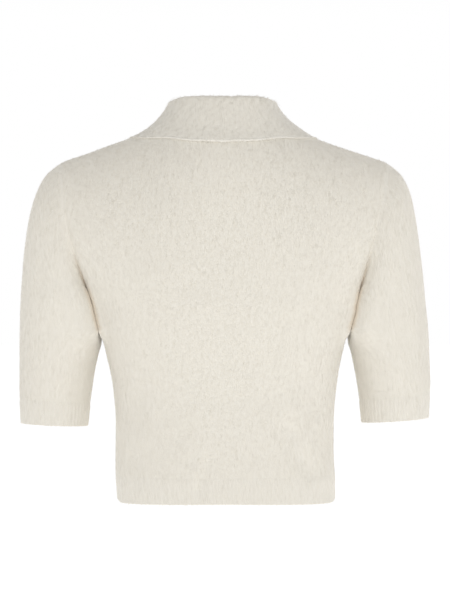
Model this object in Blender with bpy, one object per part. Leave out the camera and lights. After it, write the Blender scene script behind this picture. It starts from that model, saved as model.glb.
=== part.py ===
"""A cropped, short-sleeved knit sweater with a fold-over collar, hollow and filled out as if worn.

Frame: metres, +Z up. The front faces -Y and the left sleeve is at +X. The origin lies midway
between the two high shoulder points of the neckline. Sizes below are in millimetres.
"""

import math
from collections import namedtuple

import bmesh
import bpy
from mathutils import Vector
from mathutils.bvhtree import BVHTree

METRES = 0.001
COLLECTION = "knit_sweater"

WALL = 3.0
SEAM_GAP = 0.3
BACK, FRONT = 1, -1

# The body below the underarm: half widths and depths of its rings, bottom to top.
BodyRing = namedtuple("BodyRing", "z half_width back front")
BODY_RINGS = (
    BodyRing(-446.0, 130.5, 87.0, 92.0),
    BodyRing(-415, 131.5, 87.0, 92.5),
    BodyRing(-388, 131.0, 86.5, 93.0),
    BodyRing(-352, 131.0, 86.5, 95.0),
    BodyRing(-323, 133.0, 87.0, 100.0),
    BodyRing(-294, 137.0, 89.0, 108.0),
    BodyRing(-265, 144.0, 92.0, 117.0),
    BodyRing(-236, 152.0, 95.0, 122.0),
    BodyRing(-214, 158.0, 97.0, 122.0),
)
RING_SQUARENESS = 2.4

# The hem, which hangs a little lower at the side seams than in the middle.
HEM_Z = -446.0
HEM_DROP = 2.4
HEM_HALF_WIDTH = 130.5
HEM_BAND_TOP = -415.0
UNDERARM_Z = -214.0

# Above the underarm each panel rounds over to the ridge of the shoulders, which runs on across the
# neck: how square that rounding is at the panel's middle and over the shoulders, and how far across
# its rows start to follow the round of the armhole.
MIDDLE_SQUARENESS = {BACK: 3.1, FRONT: 1.6}
SHOULDER_SQUARENESS = 2.0
SQUARENESS_FADES_BY = 0.6
ARMHOLE_ROUND_FROM = 0.6
RIDGE_Y = 8.0
RIDGE_MIDDLE_Z = 12.5

# The neckline seen from the front, from a panel's middle to the high shoulder point.
NECK_HALF_WIDTH = 72.0
BACK_NECK_DROP = 15.0
NeckRow = namedtuple("NeckRow", "x z")
FRONT_NECK = (
    NeckRow(0.0, -97.0),
    NeckRow(27.0, -64.0),
    NeckRow(51.0, -34.0),
    NeckRow(66.0, -11.0),
    NeckRow(NECK_HALF_WIDTH, 0.0),
)
NECK_SHARE = 0.42

# The shoulder seam and the armhole.
SHOULDER_X = 196.0
SHOULDER_Z = -43.0
UNDERARM_X = 158.0
ARMHOLE_HALF_DEPTH = 50.0
ARMHOLE_BULGE = {BACK: 4.0, FRONT: -3.0}

# A sleeve's rings: the top and bottom of each, and what it bulges by, from armhole to cuff end.
SleeveRing = namedtuple("SleeveRing", "place outer_x outer_z inner_x inner_z half_depth centre_y")
SLEEVE_RINGS = (
    SleeveRing(0, SHOULDER_X, SHOULDER_Z, UNDERARM_X, UNDERARM_Z, ARMHOLE_HALF_DEPTH, 0),
    SleeveRing(1, 212.8, -58, 157.4, -223, 53.0, -0.5),
    SleeveRing(2, 223.6, -78, 155.2, -230, 54.0, -1),
    SleeveRing(3, 231.3, -105, 152.9, -237, 54.0, -2),
    SleeveRing(4, 236.8, -140, 149.9, -247, 53.0, -3),
    SleeveRing(5, 241.0, -180, 147.4, -258, 51.5, -4),
    SleeveRing(6, 244.2, -220, 151.4, -271, 49.5, -5.5),
    SleeveRing(7, 246.2, -260, 155.2, -288, 47.0, -7),
    SleeveRing(8, 247.2, -298, 159.0, -310, 44.5, -8.5),
    SleeveRing(9, 247.0, -322.5, 161.6, -328.5, 43.0, -9.5),
    SleeveRing(10, 245.5, -352.5, 164.5, -357, 41.0, -10),
)
SLEEVE_END = 9
CUFF_END = 10
BULGE_FADES_BY = 3.0

# The collar, from the middle of the back (0) round to the bottom of the V (1): the crest of its
# fold, the edge of its leaf, and how far from upright the leaf lies at its fold and at its edge.
CollarRow = namedtuple("CollarRow", "share fold_x fold_y fold_z edge_x edge_y edge_z fall spread")
COLLAR_ROWS = (
    CollarRow(0.000, 0.0, 66.0, 33.0, 0.0, 78.5, -22.3, 4, 22),
    CollarRow(0.125, 25.0, 62.0, 33.2, 36.7, 72.0, -19.6, 5, 26),
    CollarRow(0.250, 45.0, 48.5, 33.0, 71.3, 53.0, -14.2, 12, 38),
    CollarRow(0.375, 57.0, 28.0, 32.5, 99.2, 30.0, -12.3, 23, 57),
    CollarRow(0.500, 61.0, 5.0, 31.0, 112.5, 3.0, -13.0, 32, 68),
    CollarRow(0.600, 54.5, -46.0, 9.0, 115.5, -33.0, -22.0, 34, 62),
    CollarRow(0.700, 40.5, -67.5, -21.0, 109.0, -60.0, -43.0, 28, 48),
    CollarRow(0.800, 28.5, -78.0, -43.5, 99.0, -78.0, -66.0, 24, 42),
    CollarRow(0.900, 16.0, -86.5, -64.0, 87.0, -91.0, -88.0, 22, 41),
    CollarRow(1.000, 6.5, -94.0, -81.5, 74.0, -100.0, -107.0, 22, 41),
)
COLLAR_REACH = 0.95
LEAF_RESTS_FROM = 0.45
LEAF_FULLNESS = 0.38
FOLD_RADIUS = 3.5
COLLAR_CLEARANCE = 1.3
COLLAR_SEAM_GAP = 0.5

# How the garment sways from the upright: how far it moves sideways at each height, and how much
# its left side hangs lower than its right there, for each millimetre across.
SwayRow = namedtuple("SwayRow", "z shift tilt")
SWAY = (
    SwayRow(-446.5, -1.4, 0.0),
    SwayRow(-400.0, 0.4, 0.006),
    SwayRow(-350.0, 0.3, 0.013),
    SwayRow(-300.0, 0.3, 0.010),
    SwayRow(-240.0, 1.4, 0.004),
    SwayRow(-190.0, 2.8, 0.0),
    SwayRow(-120.0, 3.3, 0.0),
    SwayRow(-70.0, 1.8, 0.0),
    SwayRow(-35.0, 1.4, 0.0),
    SwayRow(0.0, 2.4, 0.0),
    SwayRow(40.0, 2.4, 0.0),
)

# Raised ribs of the hem band and cuffs.
RIBS_IN_HALF_HEM = 59
RIBS_IN_CUFF = 52
RIB_HEIGHT = 1.0

# The largest creases, as soft troughs (below zero, ridges) in a panel's outer face.
CREASE_FADE = 0.3
Crease = namedtuple("Crease", "panel x1 z1 x2 z2 half_width depth")
CREASES = (
    Crease(BACK, -72, -350, -106, -415, 13, 2.6),
    Crease(BACK, -92, -372, -124, -420, 12, -1.8),
    Crease(BACK, 20, -392, 30, -428, 9, 1.6),
    Crease(BACK, 108, -385, 100, -424, 10, 1.5),
    Crease(BACK, 132, -196, 150, -262, 12, 1.6),
    Crease(BACK, -132, -196, -150, -262, 12, 1.6),
    Crease(FRONT, 70, -352, 104, -415, 14, 2.4),
    Crease(FRONT, -82, -330, -112, -400, 14, 2.2),
    Crease(FRONT, -24, -380, -16, -426, 10, 1.5),
    Crease(FRONT, 150, -205, 96, -236, 11, 2.0),
    Crease(FRONT, -150, -208, -100, -244, 11, 2.0),
)

# How walls lean where they meet: neighbours that turn away from each other by more than this don't
# share a lean, and a shared lean is lengthened no further than this; the sleeve's extra clearance
# under the arm fades by this share of the armhole.
APART_FROM, TOGETHER_FROM = -0.3, 0.3
LEAST_MITRE = 0.75
UNDERARM_CLEARANCE_FADES_BY = 0.4

# How finely each piece is divided.
NECK_COLUMNS = 6
SHOULDER_COLUMNS = 7
ARMHOLE_ROWS = 13
SIDE_ROWS = 9
COLLAR_COLUMNS = 24
SLEEVE_PLACES = (0, 0.5, 1, 1.6, 2.3, 3, 3.8, 4.6, 5.4, 6.3, 7.3, 8.2, SLEEVE_END)
STAND_ROWS = 2
FOLD_ROWS = 3
LEAF_ROWS = 5
CREST_STEP = 0.02
TINY = 1e-6
SHARP_FROM_DEGREES = 50

# A line inside the body that its faces turn away from.
HEART_Z = -200.0
HEART_WIDTH = 0.6

CREAM = (0.80, 0.76, 0.68, 1.0)
CREAM_RIB = (0.78, 0.74, 0.66, 1.0)
KNIT_ROUGHNESS = 0.95


def mix(first, second, share):
    """The value or point that lies at a share of the way from the first to the second."""
    return first + (second - first) * share


def eased(share):
    """A share from 0 to 1 that starts and ends gently."""
    held = min(max(share, 0.0), 1.0)
    return held * held * (3.0 - 2.0 * held)


def read(table, column, at):
    """A column of a table, read between its rows on a smooth curve; the first column is the place."""
    places = [row[0] for row in table]
    values = [getattr(row, column) for row in table]
    last = len(table) - 1
    slot = sum(1 for place in places[1:-1] if place <= at)
    slot = min(slot, last - 1)
    step = places[slot + 1] - places[slot]
    slopes = []
    for index in (slot, slot + 1):
        low, high = max(index - 1, 0), min(index + 1, last)
        slopes.append((values[high] - values[low]) / (places[high] - places[low]) * step)
    share = min(max((at - places[slot]) / step, 0.0), 1.0)
    square, cube = share * share, share * share * share
    return (
        values[slot] * (2 * cube - 3 * square + 1)
        + values[slot + 1] * (3 * square - 2 * cube)
        + slopes[0] * (cube - 2 * square + share)
        + slopes[1] * (cube - square)
    )


def from_edges(count, start=0.0, end=1.0):
    """Evenly spaced values from start to end, both included."""
    return [mix(start, end, index / count) for index in range(count + 1)]


# ---------------------------------------------------------------- the body


def ring_point(panel, across, z):
    """A point of the body's ring at a height; across runs from -1 to 1, side seam to side seam."""
    half_width = read(BODY_RINGS, "half_width", z)
    depth = read(BODY_RINGS, "back" if panel == BACK else "front", z)
    angle = (1.0 - abs(across)) * math.pi / 2
    cosine, sine = math.cos(angle), math.sin(angle)
    squared = (cosine / half_width) ** RING_SQUARENESS + (sine / depth) ** RING_SQUARENESS
    radius = squared ** (-1.0 / RING_SQUARENESS)
    return Vector((math.copysign(radius * cosine, across), panel * radius * sine, z))


def ridge_point(across):
    """A point of the left half of the ridge: level over the neck, then down the shoulder seam."""
    slope = -SHOULDER_Z / (SHOULDER_X - NECK_HALF_WIDTH)
    if across <= NECK_SHARE:
        x = NECK_HALF_WIDTH * across / NECK_SHARE
        return Vector((x, RIDGE_Y, RIDGE_MIDDLE_Z * (1.0 - (x / NECK_HALF_WIDTH) ** 2)))
    share = (across - NECK_SHARE) / (1.0 - NECK_SHARE)
    x = mix(NECK_HALF_WIDTH, SHOULDER_X, share)
    return Vector((x, RIDGE_Y * (1.0 - share), slope * (NECK_HALF_WIDTH - x)))


def armhole_point(panel, rise):
    """A point of the left armhole, from the underarm (0) to the shoulder (1)."""
    return sleeve_point(panel, rise, 0.0)


def chest_point(panel, across, rise):
    """A point of a panel's form above the underarm; rise runs from 0 there to 1 at the ridge."""
    side = abs(across)
    armhole = armhole_point(panel, rise)
    if side == 1.0:
        return Vector((math.copysign(armhole.x, across), armhole.y, armhole.z))
    bottom, middle = ring_point(panel, side, UNDERARM_Z), ring_point(panel, 0.0, UNDERARM_Z)
    ridge = ridge_point(side)
    width = mix(bottom.x / UNDERARM_X, ridge.x / SHOULDER_X, eased(rise))
    level = rise + rise ** 2 - rise ** 3
    square = mix(MIDDLE_SQUARENESS[panel], SHOULDER_SQUARENESS, eased(side / SQUARENESS_FADES_BY))
    ridge_depth = panel * RIDGE_Y
    depth = mix(ridge_depth, abs(middle.y), (1.0 - level ** square) ** (1.0 / square))
    fullness = mix(bottom.y / middle.y, ridge.y / RIDGE_Y, eased(rise))
    depth = mix(abs(armhole.y), depth, fullness)
    round_level = (1.0 - math.cos(math.pi * rise)) / 2
    level = mix(level, round_level, eased((side - ARMHOLE_ROUND_FROM) / (1.0 - ARMHOLE_ROUND_FROM)))
    z = mix(UNDERARM_Z, ridge.z, level)
    return Vector((math.copysign(armhole.x * width, across), panel * depth, z))


def neck_height(panel, x):
    """How high the neckline runs at a distance from the garment's middle."""
    if panel == FRONT:
        return read(FRONT_NECK, "z", x)
    return -BACK_NECK_DROP * (1.0 - (x / NECK_HALF_WIDTH) ** 2)


def on_shoulder(across):
    """Whether a column of a panel ends at the shoulder seam instead of the neckline."""
    return abs(across) >= NECK_SHARE - TINY


def neck_rise(panel, across):
    """Where the neckline, or the shoulder seam beyond it, ends a column of a panel."""
    if on_shoulder(across):
        return 1.0
    low, high = 0.0, 1.0
    while high - low > TINY:
        rise = (low + high) / 2
        point = chest_point(panel, abs(across), rise)
        if point.z < neck_height(panel, point.x):
            low = rise
        else:
            high = rise
    return low


def crease_depth(panel, point):
    """How far the largest creases sink the panel's outer face at a point."""
    total = 0.0
    for crease in CREASES:
        if crease.panel != panel:
            continue
        along = Vector((crease.x2 - crease.x1, crease.z2 - crease.z1))
        start = Vector((point.x - crease.x1, point.z - crease.z1))
        share = start.dot(along) / along.length_squared
        away = (start - along * share).length / crease.half_width
        ends = eased(share / CREASE_FADE + 0.5) * eased((1.0 - share) / CREASE_FADE + 0.5)
        total += crease.depth * math.exp(-away * away) * ends
    return total


def sink(panel, rows, leans):
    """Sinks the creases into a panel's rows, all but their ends at the side seams and armholes."""
    for row, line in zip(rows, leans):
        for j, lean in enumerate(line[1:-1], start=1):
            row[j] = row[j] - lean * crease_depth(panel, row[j])


def panel_columns(spread=0.0):
    """Places across a panel from -1 to 1: even at its foot (0), closer by the neck's side above (1)."""
    neck = []
    for place in from_edges(NECK_COLUMNS):
        neck.append(NECK_SHARE * mix(place, math.sin(place * math.pi / 2), spread))
    half = neck + from_edges(SHOULDER_COLUMNS, NECK_SHARE, 1.0)[1:]
    return [-place for place in reversed(half[1:])] + half


def panel_rows(panel):
    """The outer points of a panel, row by row from the hem band up."""
    rows = []
    for z in from_edges(SIDE_ROWS, HEM_BAND_TOP + SEAM_GAP / 2, UNDERARM_Z)[:-1]:
        rows.append([ring_point(panel, across, z) for across in panel_columns()])
    ends = [neck_rise(panel, across) for across in panel_columns(spread=1.0)]
    for share in from_edges(ARMHOLE_ROWS):
        columns = panel_columns(eased(share))
        rows.append([chest_point(panel, across, share * end) for across, end in zip(columns, ends)])
    return rows


# ---------------------------------------------------------------- sleeves


def sleeve_point(panel, rise, place):
    """A point of the left sleeve: rise runs from its under side to its top, place along it."""
    lift = (1.0 - math.cos(math.pi * rise)) / 2
    reach = math.sin(math.pi * rise)
    bulge = ARMHOLE_BULGE[panel] * reach ** 4 * (1.0 - eased(place / BULGE_FADES_BY))
    x = mix(read(SLEEVE_RINGS, "inner_x", place), read(SLEEVE_RINGS, "outer_x", place), lift)
    z = mix(read(SLEEVE_RINGS, "inner_z", place), read(SLEEVE_RINGS, "outer_z", place), lift)
    y = read(SLEEVE_RINGS, "centre_y", place)
    y += panel * reach * read(SLEEVE_RINGS, "half_depth", place)
    return Vector((x + bulge, y, z))


def round_sleeve(count):
    """(panel, rise) for each point round a sleeve: up its back from the underarm, down its front."""
    up = [(BACK, rise) for rise in from_edges(count)[:-1]]
    down = [(FRONT, rise) for rise in reversed(from_edges(count)[1:])]
    return up + down


def sleeve_rows():
    """The outer points of the left sleeve, ring by ring from the armhole."""
    stops = round_sleeve(ARMHOLE_ROWS)
    return [[sleeve_point(panel, rise, place) for panel, rise in stops] for place in SLEEVE_PLACES]


# ---------------------------------------------------------------- walls


def slopes(rows, ring):
    """The unit normal of a grid of points at each point, on the side that the rows turn to."""
    normals = []
    for i, row in enumerate(rows):
        above, below = rows[min(i + 1, len(rows) - 1)], rows[max(i - 1, 0)]
        count = len(row)
        line = []
        for j in range(count):
            if ring:
                after, before = row[(j + 1) % count], row[j - 1]
            else:
                after, before = row[min(j + 1, count - 1)], row[max(j - 1, 0)]
            line.append((after - before).cross(above[j] - below[j]).normalized())
        normals.append(line)
    return normals


def grid_faces(rows, columns, ring, first):
    """Quads of a grid of points whose numbers start at first."""
    faces = []
    for i in range(rows - 1):
        for j in range(columns if ring else columns - 1):
            k = (j + 1) % columns
            low, high = first + i * columns, first + (i + 1) * columns
            faces.append((low + j, low + k, high + k, high + j))
    return faces


def wall_body(name, outer, inner, ring, colour):
    """One closed body between an outer and an inner grid of points of the same shape."""
    rows, columns = len(outer), len(outer[0])
    points = [point for row in outer for point in row] + [point for row in inner for point in row]
    other = rows * columns
    faces = grid_faces(rows, columns, ring, 0)
    faces += [tuple(reversed(face)) for face in grid_faces(rows, columns, ring, other)]
    for i in (0, rows - 1):
        for j in range(columns if ring else columns - 1):
            a, b = i * columns + j, i * columns + (j + 1) % columns
            edge = (a, other + a, other + b, b)
            faces.append(edge if i == 0 else tuple(reversed(edge)))
    if not ring:
        for j in (0, columns - 1):
            for i in range(rows - 1):
                a, b = i * columns + j, (i + 1) * columns + j
                edge = (a, b, other + b, other + a)
                faces.append(edge if j == 0 else tuple(reversed(edge)))
    return closed_object(name, points, faces, colour)


def swayed(point):
    """A point moved with the garment's sway, in metres."""
    moved = Vector((read(SWAY, "shift", point.z), 0, -point.x * read(SWAY, "tilt", point.z)))
    return (point + moved) * METRES


def closed_object(name, points, faces, colour):
    """A smooth-shaded object from points in millimetres, with its faces turned outwards."""
    mesh = bpy.data.meshes.new(name)
    mesh.from_pydata([swayed(point) for point in points], [], faces)
    work = bmesh.new()
    work.from_mesh(mesh)
    bmesh.ops.recalc_face_normals(work, faces=work.faces)
    work.to_mesh(mesh)
    work.free()
    mesh.shade_smooth()
    mesh.set_sharp_from_angle(angle=math.radians(SHARP_FROM_DEGREES))
    mesh.materials.append(knit_material(name, colour))
    piece = bpy.data.objects.new(name, mesh)
    bpy.data.collections[COLLECTION].objects.link(piece)
    return piece


def knit_material(name, colour):
    """A matt, brushed yarn."""
    material = bpy.data.materials.new(f"{name}_knit")
    material.use_nodes = True
    shader = material.node_tree.nodes["Principled BSDF"]
    shader.inputs["Base Color"].default_value = colour
    shader.inputs["Roughness"].default_value = KNIT_ROUGHNESS
    shader.inputs["Metallic"].default_value = 0.0
    return material


def inset(rows, leans):
    """The inner points of a wall, a wall's thickness along each point's lean."""
    return [[point - lean * WALL for point, lean in zip(*lines)] for lines in zip(rows, leans)]


def flattened(normal):
    """A normal turned square to the shoulder and side seams, which run fore and aft."""
    return Vector((normal.x, 0, normal.z)).normalized()


def mitred(own, other):
    """The way a wall leans at a seam, shared with its neighbour where the two walls would meet."""
    agreement = (own.dot(other) - APART_FROM) / (TOGETHER_FROM - APART_FROM)
    shared = own + other * eased(agreement)
    shared.normalize()
    return shared / max(shared.dot(own), LEAST_MITRE)


def mirrored(rows):
    """The same grid on the other side of the garment, turned the same way out."""
    return [[Vector((-point.x, point.y, point.z)) for point in reversed(row)] for row in rows]


# ---------------------------------------------------------------- panels and sleeves together


class Body:
    """The two panels and the left sleeve's shape, with the leans of their walls at the seams."""

    def __init__(self):
        self.outer = {panel: panel_rows(panel) for panel in (BACK, FRONT)}
        self.leans = {}
        for panel, rows in self.outer.items():
            normals = slopes(rows, ring=False)
            turned = -panel
            self.leans[panel] = [[normal * turned for normal in row] for row in normals]
        self.sleeve = sleeve_rows()
        self.sleeve_leans = slopes(self.sleeve, ring=True)
        self.square_seams()
        self.mitre_armholes()
        for panel in (BACK, FRONT):
            sink(panel, self.outer[panel], self.leans[panel])
        self.open_seams()

    def square_seams(self):
        """Turns each wall square to the shoulder and side seams, so that its edges face each other."""
        for panel, leans in self.leans.items():
            for row in leans[: SIDE_ROWS + 1]:
                row[0], row[-1] = flattened(row[0]), flattened(row[-1])
            top = leans[-1]
            for j, across in enumerate(panel_columns()):
                if on_shoulder(across):
                    top[j] = flattened(top[j])

    def mitre_armholes(self):
        """Leans the panels' and the sleeve's walls alike along the armhole."""
        stops = round_sleeve(ARMHOLE_ROWS)
        for j, (panel, rise) in enumerate(stops):
            row = SIDE_ROWS + round(rise * ARMHOLE_ROWS)
            own = self.leans[panel][row][-1]
            other = self.sleeve_leans[0][j]
            at_end = rise in (0.0, 1.0)
            if at_end:
                other = flattened(other)
            self.sleeve_leans[0][j] = mitred(other, own)
            self.leans[panel][row][-1] = mitred(own, other)
            if at_end:
                self.leans[-panel][row][-1] = self.leans[panel][row][-1]
        for leans in self.leans.values():
            for row in leans[SIDE_ROWS:]:
                lean = row[-1]
                row[0] = Vector((-lean.x, lean.y, lean.z))

    def open_seams(self):
        """Draws the edges back by half a seam's gap each."""
        half = SEAM_GAP / 2
        for panel, rows in self.outer.items():
            for row in rows[: SIDE_ROWS + 1]:
                row[0].y = row[-1].y = panel * half
            for j, across in enumerate(panel_columns()):
                if on_shoulder(across):
                    rows[-1][j].y += panel * half
            for row in rows[SIDE_ROWS + 1 :]:
                for edge, neighbour in ((0, 1), (-1, -2)):
                    back = (row[neighbour] - row[edge]).normalized()
                    row[edge] = row[edge] + back * half
        first, second = self.sleeve[0], self.sleeve[1]
        for j, (_, rise) in enumerate(round_sleeve(ARMHOLE_ROWS)):
            along = (second[j] - first[j]).normalized()
            clearance = SEAM_GAP * (1.0 - eased(rise / UNDERARM_CLEARANCE_FADES_BY))
            first[j] = first[j] + along * half + Vector((clearance, 0, 0))
        last, before = self.sleeve[-1], self.sleeve[-2]
        for j, point in enumerate(last):
            last[j] = point - (point - before[j]).normalized() * half

    def inner(self, panel):
        """The inner points of a panel's wall."""
        return inset(self.outer[panel], self.leans[panel])

    def surface(self):
        """The panels' outer faces, for laying the collar clear of them."""
        points, faces = [], []
        for rows in self.outer.values():
            faces += grid_faces(len(rows), len(rows[0]), False, len(points))
            points += [point for row in rows for point in row]
        return BVHTree.FromPolygons(points, faces)


def make_panels(body):
    """The back and front panels."""
    for panel, name in ((BACK, "back"), (FRONT, "front")):
        wall_body(name, body.outer[panel], body.inner(panel), False, CREAM)


def make_sleeves(body):
    """The two sleeves, alike but for their side."""
    inner = inset(body.sleeve, body.sleeve_leans)
    wall_body("sleeve_left", body.sleeve, inner, True, CREAM)
    wall_body("sleeve_right", mirrored(body.sleeve), mirrored(inner), True, CREAM)


# ---------------------------------------------------------------- ribs


def ribbed(rows, leans):
    """The outer points of a ribbed wall, whose every second column is raised."""
    raised = []
    for row, line in zip(rows, leans):
        heights = [RIB_HEIGHT * (column % 2) for column in range(len(row))]
        raised.append([point + lean * height for point, lean, height in zip(row, line, heights)])
    return raised


def make_hem_bands():
    """The hem band's halves, each a ribbed face over a plain inside."""
    columns = from_edges(2 * RIBS_IN_HALF_HEM, -1.0, 1.0)
    for panel, name in ((BACK, "hem_rib_back"), (FRONT, "hem_rib_front")):
        rows = []
        for z in (HEM_Z, HEM_BAND_TOP - SEAM_GAP / 2):
            rows.append([ring_point(panel, across, z) for across in columns])
        leans = [[normal * -panel for normal in row] for row in slopes(rows, ring=False)]
        for row, line in zip(rows, leans):
            line[0], line[-1] = flattened(line[0]), flattened(line[-1])
            row[0].y = row[-1].y = panel * SEAM_GAP / 2
        for point in rows[0]:
            point.z -= HEM_DROP * (point.x / HEM_HALF_WIDTH) ** 2
        sink(panel, rows, leans)
        wall_body(name, ribbed(rows, leans), inset(rows, leans), False, CREAM_RIB)


def make_cuffs():
    """The two ribbed cuffs."""
    stops = round_sleeve(RIBS_IN_CUFF)
    rows = [[sleeve_point(panel, rise, place) for panel, rise in stops] for place in (SLEEVE_END, CUFF_END)]
    leans = slopes(rows, ring=True)
    for j, (top, bottom) in enumerate(zip(*rows)):
        rows[0][j] = top + (bottom - top).normalized() * SEAM_GAP / 2
    outer, inner = ribbed(rows, leans), inset(rows, leans)
    wall_body("cuff_left", outer, inner, True, CREAM_RIB)
    wall_body("cuff_right", mirrored(outer), mirrored(inner), True, CREAM_RIB)


# ---------------------------------------------------------------- the collar


def neck_edge(body):
    """The left half of the body's neckline, from the V's bottom round to the middle of the back.

    Each entry is the middle of the wall's edge and the way on from there, in line with the wall.
    """
    middle = len(body.outer[BACK][0]) // 2
    tops = []
    for panel, steps in ((FRONT, range(NECK_COLUMNS + 1)), (BACK, range(NECK_COLUMNS - 1, -1, -1))):
        for step in steps:
            tops.append((body.outer[panel][-1][middle + step], body.leans[panel][-1][middle + step]))
    edge = []
    for index, (top, lean) in enumerate(tops):
        after, before = tops[min(index + 1, len(tops) - 1)][0], tops[max(index - 1, 0)][0]
        edge.append((top - lean * WALL / 2, lean.cross(after - before).normalized()))
    return edge


def edge_at(edge, share):
    """The neckline's edge at a share of its length, from the middle of the back (0) to the V (1)."""
    place = (1.0 - share * COLLAR_REACH) * (len(edge) - 1)
    slot = min(int(place), len(edge) - 2)
    return [mix(first, second, place - slot) for first, second in zip(edge[slot], edge[slot + 1])]


def bezier(points, share):
    """A point of a cubic curve with four control points."""
    rest = 1.0 - share
    weights = (rest ** 3, 3 * rest ** 2 * share, 3 * rest * share ** 2, share ** 3)
    return sum((point * weight for point, weight in zip(points, weights)), Vector((0, 0, 0)))


def fold_crest(share):
    """The crest of the collar's fold; a share below zero lies on the right of the back's middle."""
    crest = Vector([read(COLLAR_ROWS, column, abs(share)) for column in ("fold_x", "fold_y", "fold_z")])
    return Vector((math.copysign(crest.x, share), crest.y, crest.z))


def collar_frame(share, fold, tip):
    """The ways out and up from the fold, both square to its crest."""
    along = (fold_crest(min(share + CREST_STEP, 1.0)) - fold_crest(share - CREST_STEP)).normalized()
    up = Vector((0, 0, 1))
    up = (up - along * up.dot(along)).normalized()
    out = tip - fold
    out = (out - along * out.dot(along) - up * out.dot(up)).normalized()
    return out, up


def collar_line(edge, share):
    """The middle of the collar's wall at one place round it: up the stand, over and down the leaf."""
    fold = fold_crest(share)
    tip = Vector([read(COLLAR_ROWS, column, share) for column in ("edge_x", "edge_y", "edge_z")])
    out, up = collar_frame(share, fold, tip)
    centre = fold - up * (WALL / 2 + FOLD_RADIUS)
    start = centre - out * FOLD_RADIUS
    end = centre + out * FOLD_RADIUS
    rim, ending = edge_at(edge, share)
    ending.normalize()
    turn = (start - rim).normalized().dot(ending)
    base = rim + ending * (COLLAR_SEAM_GAP + 0.5 * WALL * math.sqrt(1.0 - min(turn ** 2, 1.0)))
    points = [mix(base, start, index / STAND_ROWS) for index in range(STAND_ROWS)]
    for turned in from_edges(FOLD_ROWS, 0.0, math.pi):
        points.append(centre + (up * math.sin(turned) - out * math.cos(turned)) * FOLD_RADIUS)
    ways = []
    for column in ("fall", "spread"):
        angle = math.radians(read(COLLAR_ROWS, column, share))
        ways.append(out * math.sin(angle) - up * math.cos(angle))
    reach = (tip - end).length * LEAF_FULLNESS
    controls = (end, end + ways[0] * reach, tip - ways[1] * reach, tip)
    points += [bezier(controls, place) for place in from_edges(LEAF_ROWS)[1:]]
    return points


def lay_clear(lines, surface):
    """Lifts the leaf just clear of the body, and rests its edge there over the shoulders and front."""
    least = WALL / 2 + COLLAR_CLEARANCE
    for share, line in zip(from_edges(COLLAR_COLUMNS), lines):
        for index in range(STAND_ROWS + FOLD_ROWS, len(line)):
            near, normal, _, _ = surface.find_nearest(line[index])
            away = outwards(near, normal)
            above = (line[index] - near).dot(away)
            edge = index == len(line) - 1
            if above < least or edge and share > LEAF_RESTS_FROM:
                line[index] = line[index] + away * (least - above)


def outwards(point, normal):
    """A face's normal, turned away from the inside of the body."""
    heart = Vector((point.x * HEART_WIDTH, 0, HEART_Z))
    return normal if normal.dot(point - heart) > 0 else -normal


def make_collar(body):
    """The collar, one strip from one side of the V round the neck to the other."""
    edge = neck_edge(body)
    half = [collar_line(edge, share) for share in from_edges(COLLAR_COLUMNS)]
    lay_clear(half, body.surface())
    other = [[Vector((-point.x, point.y, point.z)) for point in line] for line in half[1:]]
    lines = list(reversed(other)) + half
    normals = slopes(lines, ring=False)
    outer, inner = [], []
    for line, leans in zip(lines, normals):
        outer.append([point + lean * WALL / 2 for point, lean in zip(line, leans)])
        inner.append([point - lean * WALL / 2 for point, lean in zip(line, leans)])
    wall_body("collar", outer, inner, False, CREAM)


def clear_scene():
    """Removes what is in the scene."""
    for piece in list(bpy.data.objects):
        bpy.data.objects.remove(piece)


def main():
    """Builds the sweater in a collection of its own."""
    clear_scene()
    collection = bpy.data.collections.new(COLLECTION)
    bpy.context.scene.collection.children.link(collection)
    body = Body()
    make_panels(body)
    make_sleeves(body)
    make_hem_bands()
    make_cuffs()
    make_collar(body)


main()
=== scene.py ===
"""A cropped, short-sleeved knit sweater in brushed cream yarn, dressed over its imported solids.

Every piece is a thin shell of cloth on the form of the solid that it stands for, with its folds,
ribs and seams in the mesh and a brushed pile of loose yarn ends on its outer face. The shapes are
worked out in millimetres, in the part's own axes: +Z up, the front to -Y, the left sleeve to +X.
"""

from __future__ import annotations

import logging
import math
from dataclasses import dataclass, field, replace
from enum import Enum
from typing import NamedTuple, Self, Sequence

import bpy
import numpy as np
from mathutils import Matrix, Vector
from mathutils.bvhtree import BVHTree

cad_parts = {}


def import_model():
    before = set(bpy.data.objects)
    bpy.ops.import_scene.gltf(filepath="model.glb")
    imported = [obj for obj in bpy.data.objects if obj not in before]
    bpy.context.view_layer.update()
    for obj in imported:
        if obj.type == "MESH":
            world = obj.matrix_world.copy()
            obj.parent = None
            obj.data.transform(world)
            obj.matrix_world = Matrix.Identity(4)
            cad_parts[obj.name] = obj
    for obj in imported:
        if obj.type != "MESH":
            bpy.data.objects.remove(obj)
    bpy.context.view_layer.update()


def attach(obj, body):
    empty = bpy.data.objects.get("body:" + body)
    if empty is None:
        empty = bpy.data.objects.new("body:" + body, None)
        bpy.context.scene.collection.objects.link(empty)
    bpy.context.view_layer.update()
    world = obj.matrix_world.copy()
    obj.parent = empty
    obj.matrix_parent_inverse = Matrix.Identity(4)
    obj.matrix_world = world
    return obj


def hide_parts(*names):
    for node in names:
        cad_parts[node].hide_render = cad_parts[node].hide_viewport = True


log = logging.getLogger("sweater")

Colour = tuple[float, float, float]
Place = tuple[float, float, float]

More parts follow.
